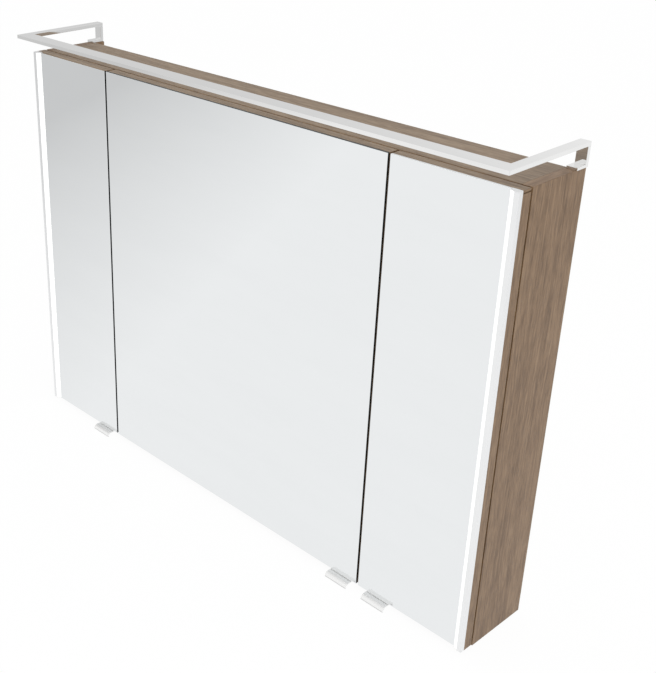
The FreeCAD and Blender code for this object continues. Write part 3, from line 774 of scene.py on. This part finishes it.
def opal_lens(name, strength):
    """Opal lens with the light on: a milky skin that glows a little."""
    material, tree, shader, patches = moulded(name, (0.92, 0.92, 0.91), 0.4, 0.1)
    share = spread(tree, patches, 0.3, 0.7)
    glow = mixed(tree, share, (0.97, 0.97, 0.96, 1.0), (1.0, 1.0, 0.99, 1.0))
    fill(tree, shader, {"Emission Color": glow, "Emission Strength": strength})
    return material


def clear_bumper():
    """Soft clear bumper."""
    material, tree, shader, _ = moulded("bumper_clear", (0.86, 0.88, 0.88), 0.25, 0.1)
    fill(tree, shader, {"Transmission Weight": 0.75, "IOR": 1.45})
    return material


def silver():
    """Silvered face of the mirrors: a cool, nearly full reflection with faint wiping strokes."""
    material, tree, shader, place = new_finish("mirror_silver")
    glass = placed(tree, wiped_glass, along(tree, place, "x"))
    strokes = spread(tree, glass["Strokes"])
    fill(tree, shader, {
        "Base Color": mixed(tree, strokes, (0.818, 0.834, 0.842, 1.0), (0.826, 0.842, 0.850, 1.0)),
        "Roughness": remap(tree, glass["Dust"], 0.0, 1.0, 0.004, 0.03),
        "Metallic": 1.0,
    })
    return material


def shaded_ground_edge():
    """Ground edges of the mirrors with fine grinding lines: faintly green glass, darkened nearly to
    black as painted shade of the splits between the doors and of the centre door's top edge.
    """
    material, tree, shader, place = new_finish("mirror_edge")
    lines = placed(tree, drawn_lines, along(tree, place, "z"))
    shade = spread(tree, lines["Lines"])
    fill(tree, shader, {
        # The near-black colour and the low specular level are painted shade; only the green tint is the
        # glass's own
        "Base Color": mixed(tree, shade, (0.010, 0.012, 0.011, 1.0), (0.022, 0.027, 0.025, 1.0)),
        "Roughness": remap(tree, shade, 0.0, 1.0, 0.28, 0.42),
        "Normal": relief(tree, lines["Lines"], 0.2, GROUND_RELIEF),
        "Specular IOR Level": 0.2,
    })
    return material


def clear_glass():
    """Shelf glass with a faint green body and wiping strokes."""
    material, tree, shader, place = new_finish("shelf_glass_clear")
    glass = placed(tree, wiped_glass, place)
    strokes = spread(tree, glass["Strokes"])
    fill(tree, shader, {
        "Base Color": mixed(tree, strokes, (0.905, 0.955, 0.93, 1.0), (0.925, 0.965, 0.945, 1.0)),
        "Roughness": remap(tree, glass["Dust"], 0.0, 1.0, 0.01, 0.2),
        "Transmission Weight": 1.0,
        "IOR": 1.52,
    })
    return material


def white_board():
    """Painted back board with a faint vertical texture of the fibre board below."""
    material, tree, shader, place = new_finish("back_board_white")
    grain = placed(tree, drawn_lines, along(tree, place, "z"))
    skin = placed(tree, moulded_skin, place)
    tone = spread(tree, grain["Clouds"], 0.3, 0.7)
    fill(tree, shader, {
        "Base Color": mixed(tree, tone, (0.63, 0.62, 0.60, 1.0), (0.65, 0.64, 0.62, 1.0)),
        "Roughness": remap(tree, skin["Skin"], 0.3, 0.7, 0.5, 0.65),
        "Normal": relief(tree, skin["Skin"], 0.25, BOARD_RELIEF),
    })
    return material


def beech_wood():
    """Pale beech of the dowels, with short flecks along them."""
    material, tree, shader, place = new_finish("beech_dowel")
    lines = placed(tree, drawn_lines, along(tree, place, "x"))
    tone = spread(tree, lines["Lines"])
    fill(tree, shader, {
        "Base Color": mixed(tree, tone, (0.42, 0.26, 0.14, 1.0), (0.58, 0.40, 0.24, 1.0)),
        "Roughness": remap(tree, tone, 0.0, 1.0, 0.55, 0.7),
        "Normal": relief(tree, lines["Lines"], 0.3, BOARD_RELIEF),
    })
    return material


# Last numbers: painted shade on the ends of the upright boards, a painted sheen on the upper and lower
# faces of the level boards and doors
oak_upright = oak("oak_upright", "z", "y", -0.4)
oak_level = oak("oak_level", "x", "x", 1.0)
oak_door = oak("oak_door", "z", "x", 1.0)
mirror_silver = silver()
mirror_edge = shaded_ground_edge()
shelf_glass = clear_glass()
polished_bar = metal("polished_bar", (0.85, 0.85, 0.845), 0.045, "x", 0.03)
satin_grip = metal("satin_grip", (0.91, 0.91, 0.905), 0.3, "x", 0.08)
# Darker metal for the lowest band of the grip's curl: painted shade where the curl turns under
grip_rim = metal("grip_rim", (0.66, 0.66, 0.655), 0.4, "x", 0.2)
anodised = metal("anodised_profile", (0.87, 0.875, 0.88), 0.34, "z")
opal_door = opal_lens("opal_door", 0.42)
opal_canopy = opal_lens("opal_canopy", 1.2)
led_board = plastic("led_board_white", (0.82, 0.82, 0.78), 0.5)
hinge_steel = metal("hinge_nickel", (0.62, 0.61, 0.59), 0.22, "z")
zinc_steel = metal("screw_zinc", (0.66, 0.67, 0.69), 0.28, "x")
white_plastic = plastic("white_plastic", (0.80, 0.80, 0.78), 0.42)
rocker_plastic = plastic("rocker_gloss", (0.84, 0.84, 0.82), 0.18, 0.08)
grey_plastic = plastic("grey_plastic", (0.34, 0.35, 0.36), 0.5)
black_rubber = plastic("black_rubber", (0.022, 0.022, 0.023), 0.65, 0.4)
clear_rubber = clear_bumper()
back_board = white_board()
beech = beech_wood()


# Carcass

def carcass_boards():
    """Boards of the carcass: eased boxes, and for the level ones a section that is rounder in front."""
    for name, node in UPRIGHT_BOARDS.items():
        skin = eased_box(*span(node), BOARD_EASE)
        piece(name, "carcass", oak_upright, [skin], [node])
    for name, node in LEVEL_BOARDS.items():
        low, high = span(node)
        radii = [FRONT_ROUND, BOARD_EASE, BOARD_EASE, FRONT_ROUND]
        section = filleted(rectangle(low[1], high[1], low[2], high[2]), radii)
        skin = extruded(section, "x", low[0], high[0], BOARD_EASE)
        piece(name, "carcass", oak_level, [skin], [node])
    dress("back_panel", back_board)
    dress("carcass_dowels", beech)


def shelves():
    """Glass shelves with polished edges, on pins with a rounded tip and a groove beside the board.

    A pin is a profile turned from the end in its board to the tip under the glass.
    """
    panes = [eased_box(low, high, GLASS_EASE) for low, high in boxes("glass_shelves")]
    piece("shelf_panes", "carcass", shelf_glass, panes, ["glass_shelves"])
    boards = [span(node) for node in UPRIGHT_BOARDS.values()]
    pins = []
    for low, high in boxes("shelf_pins"):
        radius = (high[1] - low[1]) / 2
        neck = radius * PIN_NECK_SHARE
        length = high[0] - low[0]
        middle = (low + high) / 2
        seated_low = any(left[0] < low[0] < right[0] for left, right in boards)
        start, outwards = (low[0], 1.0) if seated_low else (high[0], -1.0)
        profile = [
            (0.0, 0.0),
            (radius, 0.0),
            (radius, PIN_GROOVE_START),
            (neck, PIN_GROOVE_START + PIN_GROOVE_SLOPE),
            (neck, PIN_GROOVE_END - PIN_GROOVE_SLOPE),
            (radius, PIN_GROOVE_END),
        ]
        profile += arc((radius - PIN_TIP, length - PIN_TIP), PIN_TIP, 0, 90) + [(0.0, length)]
        pins.append(turned(profile, (start, middle[1], middle[2]), (outwards, 0.0, 0.0)))
    piece("shelf_rests", "carcass", hinge_steel, pins, ["shelf_pins"])


# Screws

def screw(points):
    """Screw in the place of a CAD screw: a pan head with a cross recess and a pointed shank.

    Over the head's disc the height is a dome, SCREW_SIDE plus the rest times 1 - (r / R)^2, and it is
    lowered by RECESS_DEPTH where the lesser of |x| and |y| is inside the recess.
    """
    low, high = points.min(axis=0), points.max(axis=0)
    lie = int(np.argmax(high - low))
    middle = (low + high) / 2
    upper = points[points[:, lie] > middle[lie]]
    lower = points[points[:, lie] < middle[lie]]
    widths = [np.delete(np.ptp(half, axis=0), lie).max() for half in (upper, lower)]
    axis = np.zeros(3)
    axis[lie] = 1.0 if widths[0] > widths[1] else -1.0
    head = max(widths) / 2
    length = high[lie] - low[lie] - SCREW_HEAD
    base = middle + axis * ((high[lie] - low[lie]) / 2 - SCREW_HEAD)
    side = np.roll(axis, 1)
    other = np.cross(axis, side)
    t = np.linspace(0.0, 2 * np.pi, ROUND_STEPS, endpoint=False)
    shank = np.array([
        (0.0, -length),
        (SHANK_RADIUS, SHANK_POINT - length),
        (SHANK_RADIUS, 0.0),
        (head, 0.0),
        (head, SCREW_RIM),
    ])
    radius = np.concatenate([shank[:, 0], head * np.linspace(DOME_SHARE, 0.0, DOME_RINGS)])
    x = radius[:, None] * np.cos(t)
    y = radius[:, None] * np.sin(t)
    dome = SCREW_SIDE + (SCREW_HEAD - SCREW_SIDE) * (1 - (radius / head) ** 2)
    slot = np.clip((RECESS_HALF - np.minimum(abs(x), abs(y))) / RECESS_SLOPE + 0.5, 0, 1)
    reach = np.clip((RECESS_REACH - radius) / RECESS_END_SLOPE + 0.5, 0, 1)
    height = dome[:, None] - RECESS_DEPTH * slot * reach[:, None]
    height[: len(shank)] = shank[:, 1:]
    rings = base + x[..., None] * side + y[..., None] * other + height[..., None] * axis
    return lofted(rings)


def screws(name, node, body):
    """All screws of a CAD node as one piece."""
    skins = [screw(points) for points in solids(node)]
    piece(name, body, zinc_steel, skins, [node])


# Hinges

def hinge_carriers():
    """Mounting plates and cranked arms on the carcass.

    A plate is a low base with a ridge along its middle. An arm is a crank carried upwards, with a ring
    round the hinge pin.
    """
    plates = []
    for low, high in boxes("hinge_plates"):
        middle = (low[2] + high[2]) / 2
        face = low[0] if low[0] < 0 else high[0]
        base_end = face + math.copysign(PLATE_BASE, -face)
        sides = rectangle(low[1] + PLATE_FRONT_STEP, high[1] - PLATE_REAR_STEP, low[2], high[2])
        crest = rectangle(low[1], high[1], middle - RIDGE_HALF, middle + RIDGE_HALF)
        base = sorted((face, base_end))
        plates.append(extruded(filleted(sides, PLATE_ROUND), "x", *base, HINGE_EASE))
        plates.append(extruded(filleted(crest, RIDGE_ROUND), "x", low[0], high[0], HINGE_EASE))
    piece("hinge_mounts", "carcass", hinge_steel, plates, ["hinge_plates"])
    arms = []
    for low, high in boxes("hinge_arms"):
        flip = 1.0 if low[0] < 0 else -1.0
        edge, outer = (low[0], high[0]) if flip > 0 else (high[0], low[0])
        pivot = np.array([edge + flip * EYE_RADIUS, low[1] + EYE_RADIUS])
        inner = outer - flip * ARM_SHEET
        half = ARM_SHEET / 2
        near = pivot[0] + flip * EYE_RADIUS * ARM_START_SHARE
        crank = [
            (near, pivot[1] - half),
            (outer, pivot[1] - half),
            (outer, high[1]),
            (inner, high[1]),
            (inner, pivot[1] + half),
            (near, pivot[1] + half),
        ]
        radii = [STEEL_EASE, CRANK_ROUND, ARM_ROUND, ARM_ROUND, ARM_ROUND, STEEL_EASE]
        arms.append(extruded(filleted(crank, radii), "z", low[2], high[2], STEEL_EASE))
        tall = high[2] - low[2]
        ring = [(PIN_HOLE, 0.0), (EYE_RADIUS, 0.0), (EYE_RADIUS, tall), (PIN_HOLE, tall)]
        arms.append(turned(ring, (*pivot, low[2]), UP, loop=True))
    piece("hinge_levers", "carcass", hinge_steel, arms, ["hinge_arms"])
    screws("hinge_fixings", "hinge_screws", "carcass")


def hinge_cups(door):
    """Pressed cups with a rolled rim, each between two wings with round ends.

    A cup is a profile turned round its middle: up the outer wall, over the rim and down the inner wall.
    """
    node = "hinge_cups_" + door
    skins = []
    for low, high in boxes(node):
        middle = (low + high) / 2
        back = high[1] - CUP_RIM
        hole = CUP_RADIUS - CUP_WALL
        rim = CUP_RADIUS + CUP_RIM
        crest = CUP_RIM - CUP_RIM_ROUND
        floor_level = CUP_FLOOR - CUP_DEPTH
        profile = [(0.0, -CUP_DEPTH), (CUP_RADIUS - CUP_CHAMFER, -CUP_DEPTH)]
        profile += [(CUP_RADIUS, CUP_CHAMFER - CUP_DEPTH), (CUP_RADIUS, 0.0), (rim, 0.0)]
        profile += arc((rim - CUP_RIM_ROUND, crest), CUP_RIM_ROUND, 0, 90)
        profile += arc((hole + CUP_RIM_ROUND, crest), CUP_RIM_ROUND, 90, 180)
        profile += [(hole, CUP_COVE + floor_level), (hole - CUP_COVE, floor_level), (0.0, floor_level)]
        skins.append(turned(profile, (middle[0], back, middle[2]), TO_WALL))
        left, right = middle[0] - WING_WIDTH / 2, middle[0] + WING_WIDTH / 2
        for reach, end in ((-1.0, low[2]), (1.0, high[2])):
            wing = rectangle(left, right, middle[2] + reach * CUP_RADIUS, end)
            rounded = filleted(wing, [STEEL_EASE, STEEL_EASE, WING_ROUND, WING_ROUND])
            skins.append(extruded(rounded, "y", back, high[1], SHEET_EASE))
    piece("hinge_bowls_" + door, door + "_door", hinge_steel, skins, [node])
    dress("hinge_pins_" + door, hinge_steel)


# Doors

def door_board(door):
    """Board with eased edges and bores for the hinge cups.

    A lit door also has an edge band that stands over the foot of its light profile, and a shadow line
    under its top edging, on the outer side.
    """
    node = "door_board_" + door
    low, high = span(node)
    plan = rectangle(low[0], high[0], low[1], high[1])
    cuts = []
    for cup_low, cup_high in boxes("hinge_cups_" + door):
        middle = (cup_low + cup_high) / 2
        base = (middle[0], cup_high[1] - CUP_RIM - CUP_DEPTH, middle[2])
        cuts.append(drill(CUP_RADIUS, CUP_DEPTH + CUT_PAST, base))
    if door in LIT_DOORS:
        outer, inner = (low[0], high[0]) if door == "left" else (high[0], low[0])
        band = outer + math.copysign(BAND_WIDTH, inner - outer)
        rise = low[1] - BAND_RISE
        plan = [(outer, rise), (band, rise), (band, low[1])]
        plan += [(inner, low[1]), (inner, high[1]), (outer, high[1])]
        line = high[2] - EDGING
        line_low = (outer - LINE_DEPTH, low[1] - LINE_DEPTH, line - LINE_HEIGHT)
        line_high = (outer + LINE_DEPTH, high[1] + LINE_DEPTH, line)
        cuts.append(eased_box(line_low, line_high, SHEET_EASE))
    skin = extruded(filleted(plan, BOARD_EASE), "z", low[2], high[2], BOARD_EASE)
    piece("door_panel_" + door, door + "_door", oak_door, [skin], [node], cuts)


def door_mirror(door):
    """Mirror with ground sides and a polished underside; the tops are banded, ground or polished. The
    ground faces are near black, painted shade of the gaps.
    """
    node = "door_mirror_" + door
    low, high = span(node)
    low[0] += PROFILE_LAP * (door == "left")
    high[0] -= PROFILE_LAP * (door == "right")
    skin = eased_box(low, high, GLASS_EASE)
    pane = piece("mirror_pane_" + door, door + "_door", mirror_silver, [skin], [node])
    normal = face_values(pane, "normal")
    polished = (normal[:, 1] < -MIRROR_FRONT) | (normal[:, 2] < -MIRROR_LEVEL)
    choice = np.where(polished, SILVERED, SHADED_GROUND)
    choice[normal[:, 2] > MIRROR_LEVEL] = MIRROR_TOPS[door]
    finish_faces(pane, (mirror_edge, oak_door), choice)


def door_light(door):
    """Aluminium channel with a slanted opal lens and an end cap at each end.

    The section is drawn from the outer edge across and from the board forwards. The lens lies between
    the end of the lip and the end of the inner wall, and its inner face is set off square to that line.
    """
    body = door + "_door"
    low, high = span("light_profile_" + door)
    flip = 1.0 if door == "left" else -1.0
    edge = low[0] if flip > 0 else high[0]
    tall = high[1] - low[1]
    wide = high[0] - low[0] + PROFILE_LAP
    lip_end = np.array([PROFILE_LIP, tall])
    wall_end = np.array([wide, MIRROR])
    slant = (wall_end - lip_end) / np.linalg.norm(wall_end - lip_end)
    inwards = np.array([slant[1], -slant[0]])
    lip_inner = lip_end + inwards * PROFILE_WALL / abs(inwards[1])
    wall_inner = wall_end + inwards * PROFILE_WALL / abs(inwards[0])
    foot = [(wide, 0.0), (BAND_WIDTH, 0.0), (BAND_WIDTH, BAND_RISE), (0.0, BAND_RISE), (0.0, tall)]
    hollow_side = [
        lip_inner,
        (PROFILE_WALL, lip_inner[1]),
        (PROFILE_WALL, PROFILE_BASE),
        (wall_inner[0], PROFILE_BASE),
        wall_inner,
    ]
    channel = foot + [lip_end] + hollow_side + [wall_end]
    outline = foot + [lip_end, wall_end]
    lens = [lip_end, wall_end, wall_end + inwards * DIFFUSER, lip_end + inwards * DIFFUSER]

    def upright(section, bottom, top, radius):
        corners = [(edge + flip * across, high[1] - rise) for across, rise in section]
        return extruded(filleted(corners, radius), "z", bottom, top, radius)

    bar = upright(channel, low[2], high[2], CHANNEL_EASE)
    piece("light_channel_" + door, body, anodised, [bar], ["light_profile_" + door])
    glass = upright(lens, low[2], high[2], LENS_EASE)
    piece("light_lens_" + door, body, opal_door, [glass], ["light_diffuser_" + door])
    node = "profile_end_caps_" + door
    ends = [upright(outline, cap_low[2], cap_high[2], CHANNEL_EASE) for cap_low, cap_high in boxes(node)]
    piece("light_caps_" + door, body, anodised, ends, [node])
    dress("light_strip_" + door, led_board)


def grip(door):
    """Bent strip under the door, a section carried across it.

    The section has a flange, a step down under the mirror and a lip that curls down. Its lowest band
    takes a darker metal, painted shade where the curl turns under.
    """
    node = "grip_strip_" + door
    low, high = span(node)
    face = high[1] - GRIP_FLANGE
    lip = high[2] - GRIP_STEP
    section = [
        (high[1], high[2]),
        (face, high[2]),
        (face, lip),
        (low[1], lip),
        (low[1], low[2]),
        (low[1] + GRIP_SHEET, low[2]),
        (low[1] + GRIP_SHEET, lip - GRIP_SHEET),
        (face + GRIP_SHEET, lip - GRIP_SHEET),
        (face + GRIP_SHEET, high[2] - GRIP_SHEET),
        (high[1], high[2] - GRIP_SHEET),
    ]
    bends = np.full(len(section), GRIP_BEND)
    bends[[3, 6]] = CURL_OUTSIDE, CURL_INSIDE
    skin = extruded(filleted(section, bends, CURL_STEPS), "x", low[0], high[0], SHEET_EASE)
    strip = piece("grip_" + door, door + "_door", satin_grip, [skin], [node])
    # Painted shade: faces low on the curl take the darker metal
    in_painted_shade = face_values(strip, "center")[:, 2] < low[2] + GRIP_SHADE_BAND
    finish_faces(strip, (grip_rim,), in_painted_shade)


def bumpers(door):
    """Clear stops: a short wall under a flat dome.

    At angle t the dome's radius is the stop's times cos t, and it rises by the rest of the height
    times sin t.
    """
    node = "door_bumpers_" + door
    skins = []
    for low, high in boxes(node):
        radius = (high[0] - low[0]) / 2
        tall = high[1] - low[1]
        wall = BUMPER_WALL_SHARE * tall
        t = np.linspace(0.0, np.pi / 2, BUMPER_STEPS + 1)
        dome = np.column_stack([radius * np.cos(t), wall + (tall - wall) * np.sin(t)])
        middle = (low + high) / 2
        profile = [(0.0, 0.0), (radius, 0.0), *dome]
        skins.append(turned(profile, (middle[0], low[1], middle[2]), TO_WALL))
    piece("bumper_domes_" + door, door + "_door", clear_rubber, skins, [node])


def doors():
    """The three doors with all that rides on them."""
    for door in DOORS:
        door_board(door)
        door_mirror(door)
        hinge_cups(door)
        grip(door)
        bumpers(door)
        screws("door_fixings_" + door, "door_screws_" + door, door + "_door")
        if door in LIT_DOORS:
            door_light(door)


# Canopy

def canopy():
    """Flat bar round three sides on two brackets, with a lens under its front.

    The bar is a plan of eight corners carried up through its thickness, less a channel for the lens.
    """
    low, high = span("canopy_front_bar")
    left_arm = span("canopy_arm_left")[1]
    right_arm_low, right_arm = span("canopy_arm_right")
    plan = [
        (low[0], low[1]),
        (high[0], low[1]),
        (high[0], right_arm[1]),
        (right_arm_low[0], right_arm[1]),
        (right_arm_low[0], high[1]),
        (left_arm[0], high[1]),
        (left_arm[0], left_arm[1]),
        (low[0], left_arm[1]),
    ]
    skin = extruded(filleted(plan, BAR_EASE), "z", low[2], high[2], BAR_EASE)
    lens_low, lens_high = span("canopy_diffuser")
    strip_high = span("canopy_light_strip")[1]
    channel_low = (lens_low[0], lens_low[1], lens_low[2] - CUT_PAST)
    channel_high = (lens_high[0], lens_high[1], strip_high[2])
    channel = eased_box(channel_low, channel_high, CHANNEL_EASE)
    nodes = ["canopy_front_bar", "canopy_arm_left", "canopy_arm_right"]
    piece("canopy_frame", "carcass", polished_bar, [skin], nodes, [channel])
    lens = eased_box(lens_low, lens_high, CHANNEL_EASE)
    piece("canopy_lens", "carcass", opal_canopy, [lens], ["canopy_diffuser"])
    dress("canopy_light_strip", led_board)
    dress("canopy_pins", zinc_steel)
    for side in ("left", "right"):
        canopy_post(side)


def canopy_post(side):
    """Bracket of the canopy: a foot and an upright in one section, carried across."""
    node = "canopy_bracket_" + side
    low, high = span(node)
    step = low[2] + FOOT_HEIGHT
    bracket = [
        (low[1], low[2]),
        (high[1], low[2]),
        (high[1], high[2]),
        (high[1] - UPRIGHT, high[2]),
        (high[1] - UPRIGHT, step),
        (low[1], step),
    ]
    radii = [BAR_EASE, BAR_EASE, BAR_EASE, BAR_EASE, FOOT_ROUND, FOOT_ROUND]
    skin = extruded(filleted(bracket, radii), "x", low[0], high[0], BAR_EASE)
    piece("canopy_post_" + side, "carcass", polished_bar, [skin], [node])


# Fittings

def wall_hangers():
    """Steel angles: a bent section carried upwards, with a hole for the bolt in the wall leg."""
    for side in ("left", "right"):
        node = "wall_hanger_" + side
        low, high = span(node)
        flip = -1.0 if side == "left" else 1.0
        panel, end = (low[0], high[0]) if flip < 0 else (high[0], low[0])
        inner = panel - flip * HANGER_SHEET
        leg = high[1] - HANGER_SHEET
        angle = [
            (panel, low[1]),
            (panel, high[1]),
            (end, high[1]),
            (end, leg),
            (inner, leg),
            (inner, low[1]),
        ]
        radii = np.full(len(angle), HANGER_CORNER)
        radii[[1, 4]] = HANGER_BEND_OUTSIDE, HANGER_BEND_INSIDE
        skin = extruded(filleted(angle, radii), "z", low[2], high[2], STEEL_EASE)
        base = (panel - flip * HANGER_FROM_SIDE, leg - CUT_PAST, (low[2] + high[2]) / 2)
        hole = drill(HANGER_HOLE, HANGER_SHEET + 2 * CUT_PAST, base)
        piece("hanger_" + side, "carcass", zinc_steel, [skin], [node], [hole])
    screws("rear_fixings", "rear_screws", "carcass")


def access_caps():
    """Caps over the access holes, each a profile turned round its middle.

    At share k of the radius the crown lies CAP_CROWN times k squared below its top.
    """
    caps = []
    for low, high in boxes("access_caps"):
        radius = (high[0] - low[0]) / 2
        middle = (low + high) / 2
        plug = high[1] - low[1] - CAP_FLANGE
        profile = [(0.0, -plug), (CAP_RADIUS - CAP_CHAMFER, -plug), (CAP_RADIUS, CAP_CHAMFER - plug)]
        profile += [(CAP_RADIUS, 0.0), (radius, 0.0)]
        profile += arc((radius - CAP_ROUND, CAP_EDGE), CAP_ROUND, 0, CAP_ROUND_END)
        profile += [(radius * k, CAP_FLANGE - CAP_CROWN * k ** 2) for k in CAP_CROWN_SHARES]
        caps.append(turned(profile, (middle[0], low[1] + CAP_FLANGE, middle[2]), TO_FRONT))
    piece("hole_caps", "carcass", white_plastic, caps, ["access_caps"])


def grommet():
    """Cable grommet: a closed profile with two round flanges, turned round the bore."""
    low, high = span("cable_grommet")
    middle = (low + high) / 2
    radius = (high[0] - low[0]) / 2
    tall = high[1] - low[1]
    lip = GROMMET_FLANGE / 2
    profile = arc((radius - lip, lip), lip, -90, 90)
    profile += [(GROMMET_RADIUS, GROMMET_FLANGE), (GROMMET_RADIUS, tall - GROMMET_FLANGE)]
    profile += arc((radius - lip, tall - lip), lip, -90, 90)
    profile += arc((GROMMET_BORE + lip, tall - lip), lip, 90, 180)
    profile += arc((GROMMET_BORE + lip, lip), lip, 180, 270)
    sleeve = turned(profile, (middle[0], low[1], middle[2]), TO_WALL, loop=True)
    piece("grommet_sleeve", "carcass", black_rubber, [sleeve], ["cable_grommet"])


def driver():
    """Light driver: an eased tray, a plate with ears and a lid that leaves a narrow seam."""
    low, high = span("light_driver")
    middle = (low[2] + high[2]) / 2
    seam = low[1] + DRIVER_BODY
    left, right = low[0] + EAR_LENGTH, high[0] - EAR_LENGTH
    ears = rectangle(low[0], high[0], middle - EAR_HEIGHT / 2, middle + EAR_HEIGHT / 2)
    tray = eased_box((left, low[1], low[2]), (right, seam, high[2]), PLASTIC_EASE)
    lid_low = (left + LID_GAP, seam - LID_SUNK, low[2] + LID_GAP)
    lid_high = (right - LID_GAP, high[1], high[2] - LID_GAP)
    lid = eased_box(lid_low, lid_high, PLASTIC_EASE)
    foot = extruded(filleted(ears, EAR_ROUND), "y", low[1], low[1] + EAR_SHEET, EAR_EASE)
    piece("driver_case", "carcass", grey_plastic, [tray, lid, foot], ["light_driver"])


def switch():
    """Switch box under the top panel: an eased box with a window for the rocker, and its ears."""
    low, high = span("switch_box")
    left, right = low[0] + EAR_LENGTH, high[0] - EAR_LENGTH
    middle = (low[1] + high[1]) / 2
    pivot = np.array([joint["pos_m"] for joint in frame["joints"] if joint["name"] == "rocker_tilt"][0])
    half = ROCKER_WIDTH / 2 + ROCKER_PLAY
    box = eased_box((left, low[1], low[2]), (right, high[1], high[2]), PLASTIC_EASE)
    window_low = (pivot[0] - half, low[1] - CUT_PAST, pivot[2] - WINDOW_HALF)
    window_high = (pivot[0] + half, low[1] + WINDOW_DEPTH, pivot[2] + WINDOW_HALF)
    window = eased_box(window_low, window_high, WINDOW_EASE)
    piece("switch_case", "carcass", white_plastic, [box], ["switch_box"], [window])
    ears = rectangle(low[0], high[0], middle - EAR_HEIGHT / 2, middle + EAR_HEIGHT / 2)
    flange = extruded(filleted(ears, EAR_ROUND), "z", high[2] - EAR_SHEET, high[2], EAR_EASE)
    piece("switch_ears", "carcass", white_plastic, [flange], [])
    screws("switch_fixings", "switch_screws", "carcass")
    rocker_key(pivot)


def rocker_key(pivot):
    """Rocker with a hollow face: a rounded section, turned by its off tilt and carried across."""
    section = np.array([
        (-ROCKER_HOLLOW, 0.0),
        (-ROCKER_FRONT, ROCKER_FRONT_HALF),
        (ROCKER_BACK, ROCKER_BACK_HALF),
        (ROCKER_BACK, -ROCKER_BACK_HALF),
        (-ROCKER_FRONT, -ROCKER_FRONT_HALF),
    ])
    c, s = math.cos(-ROCKER_TILT), math.sin(-ROCKER_TILT)
    turn = np.array([[c, s], [-s, c]])
    radii = np.full(len(section), ROCKER_ROUND)
    radii[0] = ROCKER_HOLLOW_RADIUS
    outline = filleted(section @ turn + pivot[1:], radii)
    half = ROCKER_WIDTH / 2
    key = extruded(outline, "x", pivot[0] - half, pivot[0] + half, ROCKER_END)
    piece("rocker_key", "rocker", rocker_plastic, [key], ["rocker_switch"])


carcass_boards()
shelves()
hinge_carriers()
doors()
canopy()
wall_hangers()
access_caps()
grommet()
driver()
switch()


# Stage

def floor():
    """Plain pale floor.

    Eye, mirrors and glass see it white, with a slow falloff to the front left that the mirrors show and
    one to the far right that polished metal shows. A small diffuse share keeps the shadow, and other
    surfaces get a white bounce from it.
    """
    side = FLOOR_HALF
    corners = [(x, y, FLOOR_HEIGHT) for x, y in rectangle(-side, side, -side, side)]
    mesh = bpy.data.meshes.new("floor")
    mesh.from_pydata(corners, [], [(0, 1, 2, 3)])
    obj = bpy.data.objects.new("floor", mesh)
    bpy.context.scene.collection.objects.link(obj)
    material = bpy.data.materials.new("floor_white")
    material.use_nodes = True
    tree = material.node_tree
    tree.nodes.clear()
    path = tree.nodes.new("ShaderNodeLightPath").outputs
    place = tree.nodes.new("ShaderNodeTexCoord").outputs["Object"]
    left_share = remap(tree, along_direction(tree, place, FLOOR_LEFT), *FLOOR_LEFT_FALLOFF)
    right_share = remap(tree, parts(tree, place)["X"], *FLOOR_RIGHT_FALLOFF)
    falloff = calc(tree, "MULTIPLY", left_share, right_share)
    seen = between(tree, path["Is Camera Ray"], falloff, 1.0)
    glow = add(tree, "Emission", {"Strength": calc(tree, "MULTIPLY", seen, FLOOR_GLOW)}).outputs[0]
    shadow = add(tree, "BsdfDiffuse", {"Color": FLOOR_SHADOW}).outputs[0]
    bounce = add(tree, "BsdfDiffuse", {"Color": FLOOR_BOUNCE}).outputs[0]
    shown = add(tree, "AddShader", {0: glow, 1: shadow}).outputs[0]
    whole = add(tree, "MixShader", {0: path["Is Diffuse Ray"], 1: shown, 2: bounce}).outputs[0]
    add(tree, "OutputMaterial", {"Surface": whole})
    mesh.materials.append(material)


def surroundings():
    """White surroundings.

    They are plain white to the eye and a softer light on the object, and a little darker to the upper
    left where polished metal mirrors them.
    """
    world = bpy.data.worlds.new("studio")
    bpy.context.scene.world = world
    world.use_nodes = True
    tree = world.node_tree
    path = tree.nodes.new("ShaderNodeLightPath").outputs
    direction = tree.nodes.new("ShaderNodeTexCoord").outputs["Generated"]
    mirrored = remap(tree, along_direction(tree, direction, SKY_LEFT), *SKY_LEFT_FALLOFF)
    seen = between(tree, path["Is Camera Ray"], mirrored, 1.0)
    strength = between(tree, path["Is Diffuse Ray"], seen, SKY_LIGHT)
    fill(tree, tree.nodes["Background"], {"Strength": strength, "Color": WHITE})


def key_lamp():
    """Large soft lamp that polished metal doesn't mirror."""
    lamp = bpy.data.lights.new("key", "AREA")
    lamp.size = KEY_SIZE
    lamp.energy = KEY_POWER
    obj = bpy.data.objects.new("key", lamp)
    obj.location = KEY_PLACE
    direction = np.array(KEY_TARGET) - np.array(KEY_PLACE)
    obj.rotation_euler = Vector(direction).to_track_quat("-Z", "Y").to_euler()
    bpy.context.scene.collection.objects.link(obj)
    obj.visible_glossy = False


def camera():
    """Camera at the viewing angle of the photograph; the shift keeps its framing."""
    data = bpy.data.cameras.new("view")
    data.sensor_width = CAMERA_SENSOR
    data.lens = CAMERA_LENS
    data.shift_x, data.shift_y = CAMERA_SHIFT
    data.clip_end = CAMERA_REACH
    obj = bpy.data.objects.new("view", data)
    obj.location = CAMERA_PLACE
    obj.rotation_euler = (math.radians(90.0) - CAMERA_DOWN, 0.0, CAMERA_TURN)
    bpy.context.scene.collection.objects.link(obj)
    bpy.context.scene.camera = obj


floor()
surroundings()
key_lamp()
camera()
bpy.context.scene.view_settings.view_transform = "Standard"
